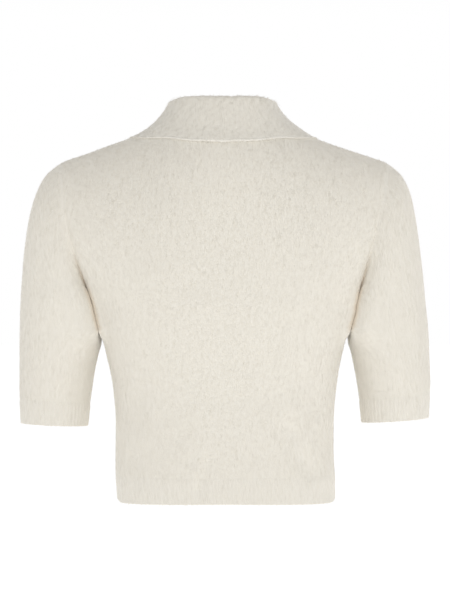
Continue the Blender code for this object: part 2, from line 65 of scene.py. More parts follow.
METRES = 0.001  # metres in a millimetre
WALL = 3.0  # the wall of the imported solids
CLOTH = 2.6  # the wall of the cloth shells
UNDER_PILE = 0.35  # how far the cloth lies under the face where its pile ends
SAME_PLACE = 1e-6  # places across a panel nearer than this are the same
LEAST_LENGTH = 1e-12  # a way shorter than this has no direction
RIM_ANGLE = math.radians(50.0)  # a shell's rim turns by more than this and stays crisp
PAINTED_SHADE_COLOUR: Colour = (0.65, 0.55, 0.42)  # painted shade: the brownish colour the yarn is darkened towards deep in a crease
PAINTED_HIGHLIGHT_COLOUR: Colour = (0.98, 0.95, 0.885)  # painted highlight: the colour the yarn is lightened towards along a thin edge
WHITE = (1.0, 1.0, 1.0, 1.0)
ROOT = "root"


class Panel(Enum):
    """The two halves of the trunk, by the side of the body that they cover."""

    BACK = 1
    FRONT = -1


class Slot(Enum):
    """Names of the two material slots, for the plain knit and for the ribs."""

    KNIT = "knit"
    RIB = "rib"


# ---------------------------------------------------------------- numbers and curves


def mix(first: np.ndarray, second: np.ndarray, share: np.ndarray) -> np.ndarray:
    """The value that lies at a share of the way from the first to the second."""
    return first + (second - first) * share


def eased(share: np.ndarray) -> np.ndarray:
    """A share from 0 to 1 that starts and ends gently."""
    held = np.clip(share, 0.0, 1.0)
    return held * held * (3.0 - 2.0 * held)


def ramp(at: np.ndarray, start: float, end: float) -> np.ndarray:
    """A share that rises gently from 0 at the start to 1 at the end."""
    return eased((at - start) / (end - start))


def bell(away: np.ndarray, half_width: float) -> np.ndarray:
    """A share that falls off softly from 1 at no distance, most of it within the half width."""
    return np.exp(-((away / half_width) ** 2))


def norms(vectors: np.ndarray, keep: bool = False) -> np.ndarray:
    """The lengths of vectors, with a last axis of one where it is kept."""
    return np.linalg.norm(vectors, axis=-1, keepdims=keep)


def unit(vectors: np.ndarray) -> np.ndarray:
    """Vectors of the same directions, each one long."""
    return vectors / np.maximum(norms(vectors, keep=True), LEAST_LENGTH)


def dot(first: np.ndarray, second: np.ndarray) -> np.ndarray:
    """The dot products of two arrays of vectors, kept as a last axis of one."""
    return np.sum(first * second, axis=-1, keepdims=True)


def stacked(x: np.ndarray, y: np.ndarray, z: np.ndarray) -> np.ndarray:
    """Points from their three coordinates."""
    return np.stack(np.broadcast_arrays(x, y, z), axis=-1).astype(float)


def read(table: Sequence[NamedTuple], column: str, at: np.ndarray) -> np.ndarray:
    """Reads a column of a table between its rows, on a smooth curve.

    Args:
        table: Rows whose first column is their place, in rising order.
        column: The name of the column to read.
        at: The places to read it at; beyond the ends the end rows hold.

    Returns:
        The values there, in the shape of the places.
    """
    places = np.array([row[0] for row in table], float)
    values = np.array([getattr(row, column) for row in table], float)
    last = len(table) - 1
    at = np.asarray(at, float)
    slot = np.clip(np.searchsorted(places, at, side="right") - 1, 0, last - 1)
    index = np.arange(last + 1)
    low, high = np.maximum(index - 1, 0), np.minimum(index + 1, last)
    slopes = (values[high] - values[low]) / (places[high] - places[low])
    step = places[slot + 1] - places[slot]
    share = np.clip((at - places[slot]) / step, 0.0, 1.0)
    square, cube = share**2, share**3
    return (
        values[slot] * (2 * cube - 3 * square + 1)
        + values[slot + 1] * (3 * square - 2 * cube)
        + slopes[slot] * step * (cube - 2 * square + share)
        + slopes[slot + 1] * step * (cube - square)
    )


def crowded(count: int, power: float) -> np.ndarray:
    """Places from 0 to 1 that lie closer together towards 0."""
    return np.linspace(0.0, 1.0, count + 1) ** power


def grid_normals(grid: np.ndarray, ring: bool) -> np.ndarray:
    """The unit normals of a grid of points.

    Args:
        grid: Points in rows and columns.
        ring: Whether the last column joins the first.

    Returns:
        A normal for each point, on the side that the rows turn to.
    """
    up = np.empty_like(grid)
    up[1:-1] = grid[2:] - grid[:-2]
    up[0], up[-1] = grid[1] - grid[0], grid[-1] - grid[-2]
    if ring:
        over = np.roll(grid, -1, axis=1) - np.roll(grid, 1, axis=1)
    else:
        over = np.empty_like(grid)
        over[:, 1:-1] = grid[:, 2:] - grid[:, :-2]
        over[:, 0], over[:, -1] = grid[:, 1] - grid[:, 0], grid[:, -1] - grid[:, -2]
    return unit(np.cross(over, up))


def across_middle(vectors: np.ndarray) -> np.ndarray:
    """Points or ways as they are on the other side of the garment."""
    return vectors * np.array([-1.0, 1.0, 1.0])


def mirrored(grid: np.ndarray) -> np.ndarray:
    """The same grid on the other side of the garment, turned the same way out."""
    return across_middle(grid[:, ::-1])


def squared(leans: np.ndarray) -> np.ndarray:
    """The leans of a wall, turned square to a seam that runs fore and aft."""
    return unit(leans * np.array([1.0, 0.0, 1.0]))


# ---------------------------------------------------------------- the garment's form


class BodyRing(NamedTuple):
    """A ring of the trunk below the underarm."""

    z: float
    half_width: float
    back: float
    front: float


class NeckRow(NamedTuple):
    """A place on the front neckline, seen from the front."""

    x: float
    z: float


class SleeveRing(NamedTuple):
    """A ring of the left sleeve: its top, its bottom and its depth."""

    place: float
    outer_x: float
    outer_z: float
    inner_x: float
    inner_z: float
    half_depth: float
    centre_y: float


class CollarRow(NamedTuple):
    """The collar's fold and the edge of its leaf at one place, and how the leaf falls between."""

    share: float
    fold_x: float
    fold_y: float
    fold_z: float
    edge_x: float
    edge_y: float
    edge_z: float
    fall: float
    spread: float


class SwayRow(NamedTuple):
    """How far the garment moves sideways at a height, and how it tilts there."""

    z: float
    shift: float
    tilt: float


class Crease(NamedTuple):
    """A soft trough (depth above zero) or ridge (below), drawn on the garment as seen flat on."""

    panel: Panel
    x1: float
    z1: float
    x2: float
    z2: float
    half_width: float
    depth: float


class Wave(NamedTuple):
    """How many millimetres along each axis turn a wave by a radian, and where it starts."""

    x: float = math.inf
    y: float = math.inf
    z: float = math.inf
    start: float = 0.0

    def turned(self, points: np.ndarray) -> np.ndarray:
        """How far the wave has turned at points."""
        x, y, z = points[..., 0], points[..., 1], points[..., 2]
        return x / self.x + y / self.y + z / self.z + self.start


class Tug(NamedTuple):
    """A place where the cloth is drawn a little aside, up or down, and how far round it shows."""

    x: float
    z: float
    half_width: float
    half_height: float
    aside: float
    up: float


@dataclass(frozen=True)
class Sway:
    """The way the garment hangs off the upright."""

    rows: tuple[SwayRow, ...] = (
        SwayRow(-446.5, -1.4, 0.0),
        SwayRow(-400.0, 0.4, 0.006),
        SwayRow(-350.0, 0.3, 0.013),
        SwayRow(-300.0, 0.3, 0.010),
        SwayRow(-240.0, 1.4, 0.004),
        SwayRow(-190.0, 2.8, 0.0),
        SwayRow(-120.0, 3.3, 0.0),
        SwayRow(-70.0, 1.8, 0.0),
        SwayRow(-35.0, 1.4, 0.0),
        SwayRow(0.0, 2.5, 0.0),
        SwayRow(40.0, 3.2, 0.0),
    )
    tugs: tuple[Tug, ...] = (
        Tug(158, -218, 24, 36, -3.6, 0.0),
        Tug(-130, -20, 34, 34, 0.0, -1.3),
        Tug(-98, 0, 20, 9, -2.4, 0.0),
        Tug(4, 34, 62, 14, 0.0, -1.0),
    )

    def placed(self, points: np.ndarray) -> np.ndarray:
        """Moves points with the sway.

        Args:
            points: Points in millimetres.

        Returns:
            Their places in metres.
        """
        moved = points.copy()
        moved[..., 0] += read(self.rows, "shift", points[..., 2])
        moved[..., 2] -= points[..., 0] * read(self.rows, "tilt", points[..., 2])
        for tug in self.tugs:
            across = (points[..., 0] - tug.x) / tug.half_width
            up = (points[..., 2] - tug.z) / tug.half_height
            share = np.exp(-(across**2) - up**2)
            moved[..., 0] += tug.aside * share
            moved[..., 2] += tug.up * share
        return moved * METRES


@dataclass(frozen=True)
class SleeveForm:
    """The left sleeve, from its armhole (place 0) to the end of its cuff."""

    rings: tuple[SleeveRing, ...] = (
        SleeveRing(0, 196.0, -43.0, 158.0, -214.0, 50.0, 0),
        SleeveRing(1, 212.8, -58, 157.4, -223, 53.0, -0.5),
        SleeveRing(2, 223.6, -78, 155.2, -230, 54.0, -1),
        SleeveRing(3, 231.3, -105, 152.9, -237, 54.0, -2),
        SleeveRing(4, 236.8, -140, 149.9, -247, 53.0, -3),
        SleeveRing(5, 241.0, -180, 147.4, -258, 51.5, -4),
        SleeveRing(6, 244.2, -220, 151.4, -271, 49.5, -5.5),
        SleeveRing(7, 246.2, -260, 155.2, -288, 47.0, -7),
        SleeveRing(8, 247.2, -298, 159.0, -310, 44.5, -8.5),
        SleeveRing(9, 247.0, -322.5, 161.6, -328.5, 43.0, -9.5),
        SleeveRing(10, 245.5, -352.5, 164.5, -357, 41.0, -10),
    )
    sleeve_end: float = 9.0
    cuff_end: float = 10.0
    bulge_fades_by: float = 3.0
    bulge_sharpness: int = 4
    back_bulge: float = 4.0
    front_bulge: float = -3.0

    def point(self, side: np.ndarray, rise: np.ndarray, place: np.ndarray) -> np.ndarray:
        """Points of the sleeve.

        Args:
            side: 1 on the sleeve's back and -1 on its front.
            rise: From 0 on its under side to 1 on its top.
            place: How far along the rings.

        Returns:
            The points, in the shape of the three together.
        """
        side, rise, place = np.broadcast_arrays(side, rise, place)
        lift = (1.0 - np.cos(np.pi * rise)) / 2
        reach = np.sin(np.pi * rise)
        most = np.where(side > 0, self.back_bulge, self.front_bulge)
        bulge = most * reach**self.bulge_sharpness * (1.0 - eased(place / self.bulge_fades_by))
        x = mix(read(self.rings, "inner_x", place), read(self.rings, "outer_x", place), lift)
        z = mix(read(self.rings, "inner_z", place), read(self.rings, "outer_z", place), lift)
        y = read(self.rings, "centre_y", place)
        y = y + side * reach * read(self.rings, "half_depth", place)
        return stacked(x + bulge, y, z)

    def stops(self, count: int) -> tuple[np.ndarray, np.ndarray]:
        """The sides and rises round the sleeve: up its back from the underarm, down its front.

        Args:
            count: How many steps from the underarm to the top.

        Returns:
            The side and the rise of each stop.
        """
        steps = np.linspace(0.0, 1.0, count + 1)
        rise = np.concatenate([steps[:-1], steps[:0:-1]])
        side = np.concatenate([np.ones(count), -np.ones(count)])
        return side, rise


@dataclass(frozen=True)
class TrunkForm:
    """The trunk's two panels: rings below the underarm, then a round over to the shoulders."""

    sleeve: SleeveForm = SleeveForm()
    rings: tuple[BodyRing, ...] = (
        BodyRing(-446.0, 130.5, 87.0, 92.0),
        BodyRing(-415, 131.5, 87.0, 92.5),
        BodyRing(-388, 131.0, 86.5, 93.0),
        BodyRing(-352, 131.0, 86.5, 95.0),
        BodyRing(-323, 133.0, 87.0, 100.0),
        BodyRing(-294, 137.0, 89.0, 108.0),
        BodyRing(-265, 144.0, 92.0, 117.0),
        BodyRing(-236, 152.0, 95.0, 122.0),
        BodyRing(-214, 158.0, 97.0, 122.0),
    )
    squareness: float = 2.4
    hem_z: float = -446.0
    hem_drop: float = 2.4
    hem_half_width: float = 130.5
    band_top: float = -415.0
    underarm_x: float = 158.0
    underarm_z: float = -214.0
    shoulder_x: float = 196.0
    shoulder_z: float = -43.0
    back_squareness: float = 3.1
    front_squareness: float = 1.6
    shoulder_squareness: float = 2.0
    squareness_fades_by: float = 0.6
    armhole_round_from: float = 0.6
    ridge_y: float = 8.0
    ridge_middle_z: float = 12.5
    neck_half_width: float = 72.0
    back_neck_drop: float = 15.0
    front_neck: tuple[NeckRow, ...] = (
        NeckRow(0.0, -97.0),
        NeckRow(27.0, -64.0),
        NeckRow(51.0, -34.0),
        NeckRow(66.0, -11.0),
        NeckRow(72.0, 0.0),
    )
    neck_share: float = 0.42
    halvings: int = 24

    def ring_point(self, panel: Panel, across: np.ndarray, z: np.ndarray) -> np.ndarray:
        """Points of the trunk's ring at a height.

        Args:
            panel: The half of the trunk.
            across: From -1 to 1, side seam to side seam.
            z: The height.

        Returns:
            The points.
        """
        half_width = read(self.rings, "half_width", z)
        depth = read(self.rings, panel.name.lower(), z)
        angle = (1.0 - np.abs(across)) * np.pi / 2
        cosine, sine = np.cos(angle), np.sin(angle)
        total = (cosine / half_width) ** self.squareness + (sine / depth) ** self.squareness
        radius = total ** (-1.0 / self.squareness)
        return stacked(np.sign(across) * radius * cosine, panel.value * radius * sine, z)

    def ridge_point(self, side: np.ndarray) -> np.ndarray:
        """Points of the ridge's left half: level over the neck, then down the shoulder seam.

        Args:
            side: From 0 at the middle to 1 at the shoulder point.

        Returns:
            The points.
        """
        slope = -self.shoulder_z / (self.shoulder_x - self.neck_half_width)
        over_neck = self.neck_half_width * side / self.neck_share
        share = np.clip((side - self.neck_share) / (1.0 - self.neck_share), 0.0, 1.0)
        down = mix(self.neck_half_width, self.shoulder_x, share)
        on_neck = side <= self.neck_share
        x = np.where(on_neck, over_neck, down)
        neck_z = self.ridge_middle_z * (1.0 - (over_neck / self.neck_half_width) ** 2)
        z = np.where(on_neck, neck_z, slope * (self.neck_half_width - down))
        return stacked(x, self.ridge_y * (1.0 - share), z)

    def chest_point(self, panel: Panel, across: np.ndarray, rise: np.ndarray) -> np.ndarray:
        """Points of a panel's form above the underarm.

        Args:
            panel: The half of the trunk.
            across: From -1 to 1, armhole to armhole.
            rise: From 0 at the underarm to 1 at the ridge of the shoulders.

        Returns:
            The points.
        """
        across, rise = np.broadcast_arrays(np.asarray(across, float), np.asarray(rise, float))
        side = np.abs(across)
        armhole = self.sleeve.point(np.full(side.shape, panel.value), rise, np.zeros(side.shape))
        bottom = self.ring_point(panel, side, self.underarm_z)
        middle_y = self.ring_point(panel, np.zeros(1), self.underarm_z)[0, 1]
        ridge = self.ridge_point(side)
        width = mix(bottom[..., 0] / self.underarm_x, ridge[..., 0] / self.shoulder_x, eased(rise))
        level = rise + rise**2 - rise**3
        middle_square = self.back_squareness if panel is Panel.BACK else self.front_squareness
        sideways = eased(side / self.squareness_fades_by)
        square = mix(middle_square, self.shoulder_squareness, sideways)
        round_over = np.clip(1.0 - level**square, 0.0, 1.0) ** (1.0 / square)
        depth = mix(panel.value * self.ridge_y, abs(middle_y), round_over)
        fullness = mix(bottom[..., 1] / middle_y, ridge[..., 1] / self.ridge_y, eased(rise))
        depth = mix(np.abs(armhole[..., 1]), depth, fullness)
        round_level = (1.0 - np.cos(np.pi * rise)) / 2
        level = mix(level, round_level, ramp(side, self.armhole_round_from, 1.0))
        z = mix(self.underarm_z, ridge[..., 2], level)
        x = np.sign(across) * armhole[..., 0] * width
        return stacked(x, panel.value * depth, z)

    def neck_height(self, panel: Panel, x: np.ndarray) -> np.ndarray:
        """How high the neckline runs.

        Args:
            panel: Which half of the trunk.
            x: The distance from the garment's middle.

        Returns:
            The heights.
        """
        if panel is Panel.FRONT:
            return read(self.front_neck, "z", x)
        return -self.back_neck_drop * (1.0 - (x / self.neck_half_width) ** 2)

    def on_shoulder(self, across: np.ndarray) -> np.ndarray:
        """Whether places across a panel's top lie on its shoulder seam, beyond the neckline."""
        return np.abs(across) >= self.neck_share - SAME_PLACE

    def neck_rise(self, panel: Panel, across: np.ndarray) -> np.ndarray:
        """Where each column of a panel ends.

        Args:
            panel: The half of the trunk.
            across: The columns' places at the top.

        Returns:
            The rise at the neckline, or 1 at the shoulder seam beyond it.
        """
        side = np.abs(across)
        low, high = np.zeros(side.shape), np.ones(side.shape)
        for _ in range(self.halvings):
            rise = (low + high) / 2
            point = self.chest_point(panel, side, rise)
            under = point[..., 2] < self.neck_height(panel, point[..., 0])
            low, high = np.where(under, rise, low), np.where(under, high, rise)
        return np.where(self.on_shoulder(side), 1.0, low)


# ---------------------------------------------------------------- folds


@dataclass(frozen=True)
class Folds:
    """What breaks the smooth form: listed creases, sunk seams and a slow unevenness."""

    trunk: tuple[Crease, ...] = (
        Crease(Panel.BACK, -72, -350, -106, -415, 11, 2.9),
        Crease(Panel.BACK, -90, -368, -124, -424, 11, -1.9),
        Crease(Panel.BACK, 19, -392, 30, -432, 6, 1.5),
        Crease(Panel.BACK, 32, -400, 38, -424, 8, -0.9),
        Crease(Panel.BACK, 110, -386, 101, -428, 8, 1.6),
        Crease(Panel.BACK, 96, -300, 112, -352, 15, 1.3),
        Crease(Panel.BACK, -98, -296, -110, -346, 15, 1.4),
        Crease(Panel.BACK, 138, -262, 112, -300, 9, 1.2),
        Crease(Panel.BACK, -138, -266, -116, -298, 9, 1.1),
        Crease(Panel.BACK, 74, -338, 52, -372, 14, 0.9),
        Crease(Panel.BACK, -20, -330, -44, -384, 18, -0.8),
        Crease(Panel.FRONT, 70, -352, 104, -418, 12, 2.6),
        Crease(Panel.FRONT, 88, -370, 120, -424, 11, -1.5),
        Crease(Panel.FRONT, -82, -330, -112, -404, 13, 2.3),
        Crease(Panel.FRONT, -24, -380, -16, -430, 8, 1.5),
        Crease(Panel.FRONT, 34, -372, 26, -420, 10, -1.0),
        Crease(Panel.FRONT, 150, -205, 92, -238, 9, 2.0),
        Crease(Panel.FRONT, 146, -226, 104, -262, 10, 1.4),
        Crease(Panel.FRONT, -150, -208, -98, -246, 9, 2.1),
        Crease(Panel.FRONT, -142, -238, -112, -272, 9, 1.2),
        Crease(Panel.FRONT, 168, -120, 128, -170, 13, 1.0),
        Crease(Panel.FRONT, -168, -126, -130, -168, 12, 1.1),
    )
    sleeves: tuple[Crease, ...] = (
        Crease(Panel.BACK, 222, -132, 208, -196, 13, 1.3),
        Crease(Panel.BACK, 176, -190, 163, -264, 10, -2.8),
        Crease(Panel.BACK, 214, -236, 196, -292, 14, 0.9),
        Crease(Panel.BACK, 176, -300, 184, -330, 9, 1.0),
        Crease(Panel.BACK, -206, -188, -213, -262, 12, 1.2),
        Crease(Panel.BACK, -175, -196, -163, -266, 10, -2.4),
        Crease(Panel.BACK, -196, -288, -186, -326, 10, 0.9),
        Crease(Panel.FRONT, 166, -222, 212, -206, 8, 1.7),
        Crease(Panel.FRONT, 168, -244, 222, -240, 9, 1.5),
        Crease(Panel.FRONT, 186, -272, 226, -286, 11, 1.1),
        Crease(Panel.FRONT, -166, -226, -208, -212, 8, 1.6),
        Crease(Panel.FRONT, -168, -250, -220, -252, 10, 1.4),
        Crease(Panel.FRONT, -190, -284, -224, -300, 10, 1.0),
    )
    collar: tuple[Crease, ...] = (
        Crease(Panel.BACK, -11, 40, -10, 27, 2.4, 0.9),
        Crease(Panel.BACK, 34, 30, 42, 4, 7, 0.6),
        Crease(Panel.BACK, -48, 26, -54, 2, 8, 0.5),
        Crease(Panel.FRONT, 64, -26, 96, -52, 9, 1.0),
        Crease(Panel.FRONT, -60, -30, -92, -60, 10, 0.9),
        Crease(Panel.FRONT, 44, -62, 78, -92, 9, -0.7),
        Crease(Panel.FRONT, -40, -56, -74, -84, 9, -0.8),
    )
    end_fade: float = 0.3
    # the sunk seams, and how far from a seam and a cuff the creases reach their full depth
    seam_fade: float = 12.0
    cuff_fade: float = 10.0
    seam_depth: float = 0.55
    seam_half_width: float = 3.0
    # the deep crease under the arm, on both sides of the armhole
    pit_depth: float = 4.4
    pit_half_width: float = 2.9
    pit_sharpness: float = 1.3
    pit_top: float = 0.44
    pit_full: float = 0.2
    pit_foot: float = 0.2
    # the cloth fore and aft of that crease, which fills out until sleeve and trunk nearly meet
    plump: float = 12.0
    plump_aside: float = 7.0
    plump_depth: float = 24.0
    aside_depth: float = 29.5
    aside_sharpness: float = 5.0
    plump_low: float = -260.0
    plump_full: float = -242.0
    plump_high: float = -188.0
    plump_top: float = -160.0
    # where sleeve and trunk touch below the armhole, down to where they part again
    touch_low: float = -249.0
    touch_fade: float = 10.0
    touch_half_width: float = 5.0
    touch_rise: float = 0.5
    touch_gap: float = 0.12
    near_half_width: float = 3.3
    foot_fade: float = 3.0
    foot_rise: float = 14.0
    foot_clear: float = 6.0
    parting: float = 1.0
    parting_z: float = -257.0
    parting_height: float = 8.0
    parting_half_width: float = 14.0
    # the slow unevenness; each of the waves is a height and two waves that beat together, and
    # where the second only has a start, it stays level at its top
    uneven: float = 0.18
    long_wave: Wave = Wave(x=13.1)
    long_beat: Wave = Wave(y=40.0, z=21.7, start=0.7)
    bends: Wave = Wave(z=29.0)
    bend: float = 1.3
    waves: tuple[tuple[float, Wave, Wave], ...] = (
        (0.7, Wave(x=7.9, z=-23.3, start=2.1), Wave(x=31.0, z=37.0)),
        (0.5, Wave(x=17.9, y=15.0, z=9.7), Wave(start=math.pi / 2)),
    )

    def plumped(
        self, points: np.ndarray, aside: np.ndarray, away: np.ndarray, wall: np.ndarray, foot: float
    ) -> np.ndarray:
        """Fills out the cloth fore and aft of the line where sleeve and trunk meet under the arm.

        Args:
            points: The points of a face.
            aside: Which way along x each of them closes on that line, or 0 for not at all.
            away: How far each of them is from the armhole.
            wall: Where along x they meet on the left, at each height, from the lowest up.
            foot: The height of the armhole's foot.

        Returns:
            The fuller face.
        """
        x, y, z = points[..., 0], points[..., 1], points[..., 2]
        rising = ramp(z, self.plump_low, self.plump_full)
        falling = 1.0 - ramp(z, self.plump_high, self.plump_top)
        along = rising * falling * np.abs(aside)
        deep, wide = (y / self.plump_depth) ** 2, (y / self.aside_depth) ** 2
        below = 1.0 - ramp(z - foot, -self.foot_fade, 0.0)
        below = np.maximum(below, self.low_down(z, foot) * eased(away / self.foot_clear))
        peak = (wide * np.exp(1.0 - wide)) ** self.aside_sharpness
        drawn = self.plump_aside * along * below * peak
        room = np.sign(aside) * (np.sign(x) * np.interp(z, wall[:, 1], wall[:, 0]) - x)
        drawn = np.minimum(drawn, np.maximum(room - self.touch_gap, 0.0))
        filled = self.plump * along * (deep * np.exp(1.0 - deep)) ** 2
        return stacked(x + np.sign(aside) * drawn, y + np.sign(y) * filled, z)

    def low_down(self, z: np.ndarray, foot: float) -> np.ndarray:
        """A share that is 1 just above the armhole's foot and falls to 0 a little higher up."""
        return 1.0 - ramp(z - foot, self.foot_rise, 2.0 * self.foot_rise)

    def pressed(self, creases: Sequence[Crease], panel: np.ndarray, grid: np.ndarray) -> np.ndarray:
        """How far the creases sink a face; half of each crease's fade lies beyond its end.

        Args:
            creases: The creases to press in.
            panel: 1 where a point is on the garment's back and -1 on its front.
            grid: The face's points.

        Returns:
            A depth for each point.
        """
        total = np.zeros(grid.shape[:-1])
        flat = grid[..., [0, 2]]
        for crease in creases:
            start = np.array([crease.x1, crease.z1], float)
            along = np.array([crease.x2, crease.z2], float) - start
            share = (flat - start) @ along / (along @ along)
            away = norms(flat - start - share[..., None] * along)
            ends = eased(share / self.end_fade + 0.5) * eased((1.0 - share) / self.end_fade + 0.5)
            depth_and_painted_light = crease.depth * bell(away, crease.half_width) * ends
            total += np.where(panel == crease.panel.value, depth_and_painted_light, 0.0)
        return total

    def swell(self, grid: np.ndarray) -> np.ndarray:
        """The slow unevenness of hand-worn knit: a few long waves that don't line up.

        Args:
            grid: The face's points.

        Returns:
            How far each of them is sunk, or raised below zero.
        """
        bent = self.long_wave.turned(grid) + self.bend * np.sin(self.bends.turned(grid))
        total = np.sin(bent) * np.sin(self.long_beat.turned(grid))
        for height, first, second in self.waves:
            total += height * np.sin(first.turned(grid)) * np.sin(second.turned(grid))
        return self.uneven * total

    def seam(self, away: np.ndarray) -> np.ndarray:
        """How far a seam sinks the cloth beside it, by the distance from it."""
        return self.seam_depth * bell(away, self.seam_half_width)

    def pit(self, rise: np.ndarray, away: np.ndarray) -> np.ndarray:
        """How far the deep crease under the arm sinks the cloth on both sides of the armhole.

        Args:
            rise: How far up the armhole, from the underarm at 0.
            away: The distance from the seam.

        Returns:
            The depth.
        """
        top = 1.0 - ramp(rise, self.pit_full, self.pit_top)
        bottom = eased(rise / self.pit_foot)
        across = np.exp(-((away / self.pit_half_width) ** self.pit_sharpness))
        return self.pit_depth * top * bottom * across

    def touch(self, z: np.ndarray, away: np.ndarray) -> np.ndarray:
        """How near the sleeve and the trunk come to each other below the armhole.

        Args:
            z: The height.
            away: The distance from the line where they come nearest.

        Returns:
            A share, 1 where they touch.
        """
        return eased((z - self.touch_low) / self.touch_fade) * bell(away, self.touch_half_width)

    def parted(self, z: np.ndarray, away: np.ndarray) -> np.ndarray:
        """How far the sleeve and the trunk draw back from each other where they part again.

        Args:
            z: The height.
            away: The distance from the line where they come nearest.

        Returns:
            A depth.
        """
        along = bell(z - self.parting_z, self.parting_height)
        return self.parting * along * bell(away, self.parting_half_width)

    def near(self, points: np.ndarray, wall: np.ndarray, foot: float) -> np.ndarray:
        """How near points lie to where sleeve and trunk touch, from 0 to 1, which sets painted
        shade there.

        Args:
            points: The points.
            wall: Where along x they meet on the left, at each height, from the lowest up.
            foot: The height of the armhole's foot.

        Returns:
            A share, 1 where they touch.
        """
        x, z = points[..., 0], points[..., 2]
        away = np.abs(x) - np.interp(z, wall[:, 1], wall[:, 0])
        along = eased((z - self.touch_low) / self.touch_fade) * self.low_down(z, foot)
        return along * bell(away, self.near_half_width)


# ---------------------------------------------------------------- cloth shells


@dataclass
class Cloth:
    """A grid of cloth: its middle surface, the way each point leans out, and its half thickness.

    Its optional weights paint shade on each point that lies deep in a crease, from 0 to 1, and
    below 0, paint a highlight along a thin edge.
    """

    middle: np.ndarray
    lean: np.ndarray
    ring: bool
    depth_and_painted_light: np.ndarray | None = None
    half: np.ndarray = field(init=False)
    round_steps: tuple[float, ...] = (0.0, 0.08, 0.3, 0.62, 1.0)
    round_room: float = 0.9
    rim_half: float = 0.02

    def __post_init__(self) -> None:
        """Starts at an even thickness."""
        self.half = np.full(self.middle.shape[:2], CLOTH / 2)

    @classmethod
    def under(
        cls, outer: np.ndarray, lean: np.ndarray, ring: bool, depth_and_painted_light: np.ndarray | None = None
    ) -> Cloth:
        """Cloth that lies just under an outer face, so that its pile ends at that face."""
        return cls(outer - lean * (UNDER_PILE + CLOTH / 2), lean, ring, depth_and_painted_light)

    def transpose(self) -> None:
        """Swaps the grid's rows and columns."""
        self.middle, self.lean = self.middle.swapaxes(0, 1), self.lean.swapaxes(0, 1)
        self.half = self.half.swapaxes(0, 1)

    def round_first_row(self, bead: float) -> None:
        """Rounds off the edge along the first row.

        Args:
            bead: How much thicker than the cloth the edge is.
        """
        radius = self.half[0] + bead
        first, second = self.middle[0], self.middle[1]
        way = unit(second - first)
        room = norms(second - first) * self.round_room
        rows, halves = [], []
        for step in self.round_steps:
            at = np.minimum(radius * step, room)
            rows.append(first + way * at[:, None])
            halves.append(radius * math.sqrt(1.0 - (1.0 - step) ** 2) + self.rim_half)
        count = len(rows)
        self.middle = np.concatenate([np.stack(rows), self.middle[1:]])
        self.lean = np.concatenate([np.repeat(self.lean[:1], count, axis=0), self.lean[1:]])
        self.half = np.concatenate([np.stack(halves), self.half[1:]])

    def round_edges(self, bottom: bool = False, top: bool = False, bead: float = 0.0) -> None:
        """Rounds off the named edges of the grid.

        Args:
            bottom: The edge along the first row.
            top: The edge along the last row.
            bead: How much thicker than the cloth they are, as where they are turned or bound.
        """
        if bottom:
            self.round_first_row(bead)
        if top:
            self.flip_rows()
            self.round_first_row(bead)
            self.flip_rows()

    def flip_rows(self) -> None:
        """Turns the order of the rows round."""
        self.middle, self.lean, self.half = self.middle[::-1], self.lean[::-1], self.half[::-1]

    def outer(self) -> np.ndarray:
        """The points of the outer face."""
        return self.middle + self.lean * self.half[..., None]

    def inner(self) -> np.ndarray:
        """The points of the inner face."""
        return self.middle - self.lean * self.half[..., None]

    def lengths(self) -> tuple[np.ndarray, np.ndarray]:
        """How far each point lies along its row and up its column, in metres, for the knit's scale.

        Returns:
            The distances across and up; a ring's have one column more, where it closes.
        """
        grid = self.middle
        if self.ring:
            grid = np.concatenate([grid, grid[:, :1]], axis=1)
        over = norms(np.diff(grid, axis=1))
        across = np.concatenate([np.zeros((len(grid), 1)), np.cumsum(over, axis=1)], axis=1)
        across -= across[:, -1:] / 2
        up = norms(np.diff(grid, axis=0)).mean(axis=1)
        rise = np.concatenate([[0.0], np.cumsum(up)])
        return across * METRES, np.repeat(rise[:, None], grid.shape[1], axis=1) * METRES

    def build(self, name: str, sway: Sway, material: bpy.types.Material) -> bpy.types.Object:
        """Makes the closed shell.

        Args:
            name: The piece's name.
            sway: The garment's sway.
            material: The shell's material.

        Returns:
            The new object.
        """
        rows, columns = self.middle.shape[:2]
        loop = np.concatenate([self.outer(), self.inner()[::-1]])
        around = 2 * rows
        points = sway.placed(loop).reshape(-1, 3)
        flat = np.stack(self.lengths(), axis=-1)
        flat = np.concatenate([flat, flat[::-1]])
        last = columns if self.ring else columns - 1
        i, j = np.meshgrid(np.arange(around), np.arange(last), indexing="ij")
        i, j = i.ravel(), j.ravel()
        after, beside = (i + 1) % around, (j + 1) % columns
        corners = [(i, j, j), (i, beside, j + 1), (after, beside, j + 1), (after, j, j)]
        quads = np.stack([row * columns + column for row, column, _ in corners], axis=1)
        maps = np.stack([flat[row, place] for row, _, place in corners], axis=1)
        if not self.ring:
            low = np.arange(rows - 1)
            order = (low, low + 1, around - 2 - low, around - 1 - low)
            for column, turned in ((0, order), (columns - 1, order[::-1])):
                ends = np.stack([row * columns + column for row in turned], axis=1)
                places = np.stack([flat[row, column] for row in turned], axis=1)
                quads, maps = np.concatenate([quads, ends]), np.concatenate([maps, places])
        shell = mesh_object(name, points, quads, material, maps.reshape(-1, 2))
        # the painted shade and highlight, for the material to read
        if self.depth_and_painted_light is not None:
            give(shell, "depth_and_painted_light", np.concatenate([self.depth_and_painted_light, self.depth_and_painted_light[::-1]]))
        return shell


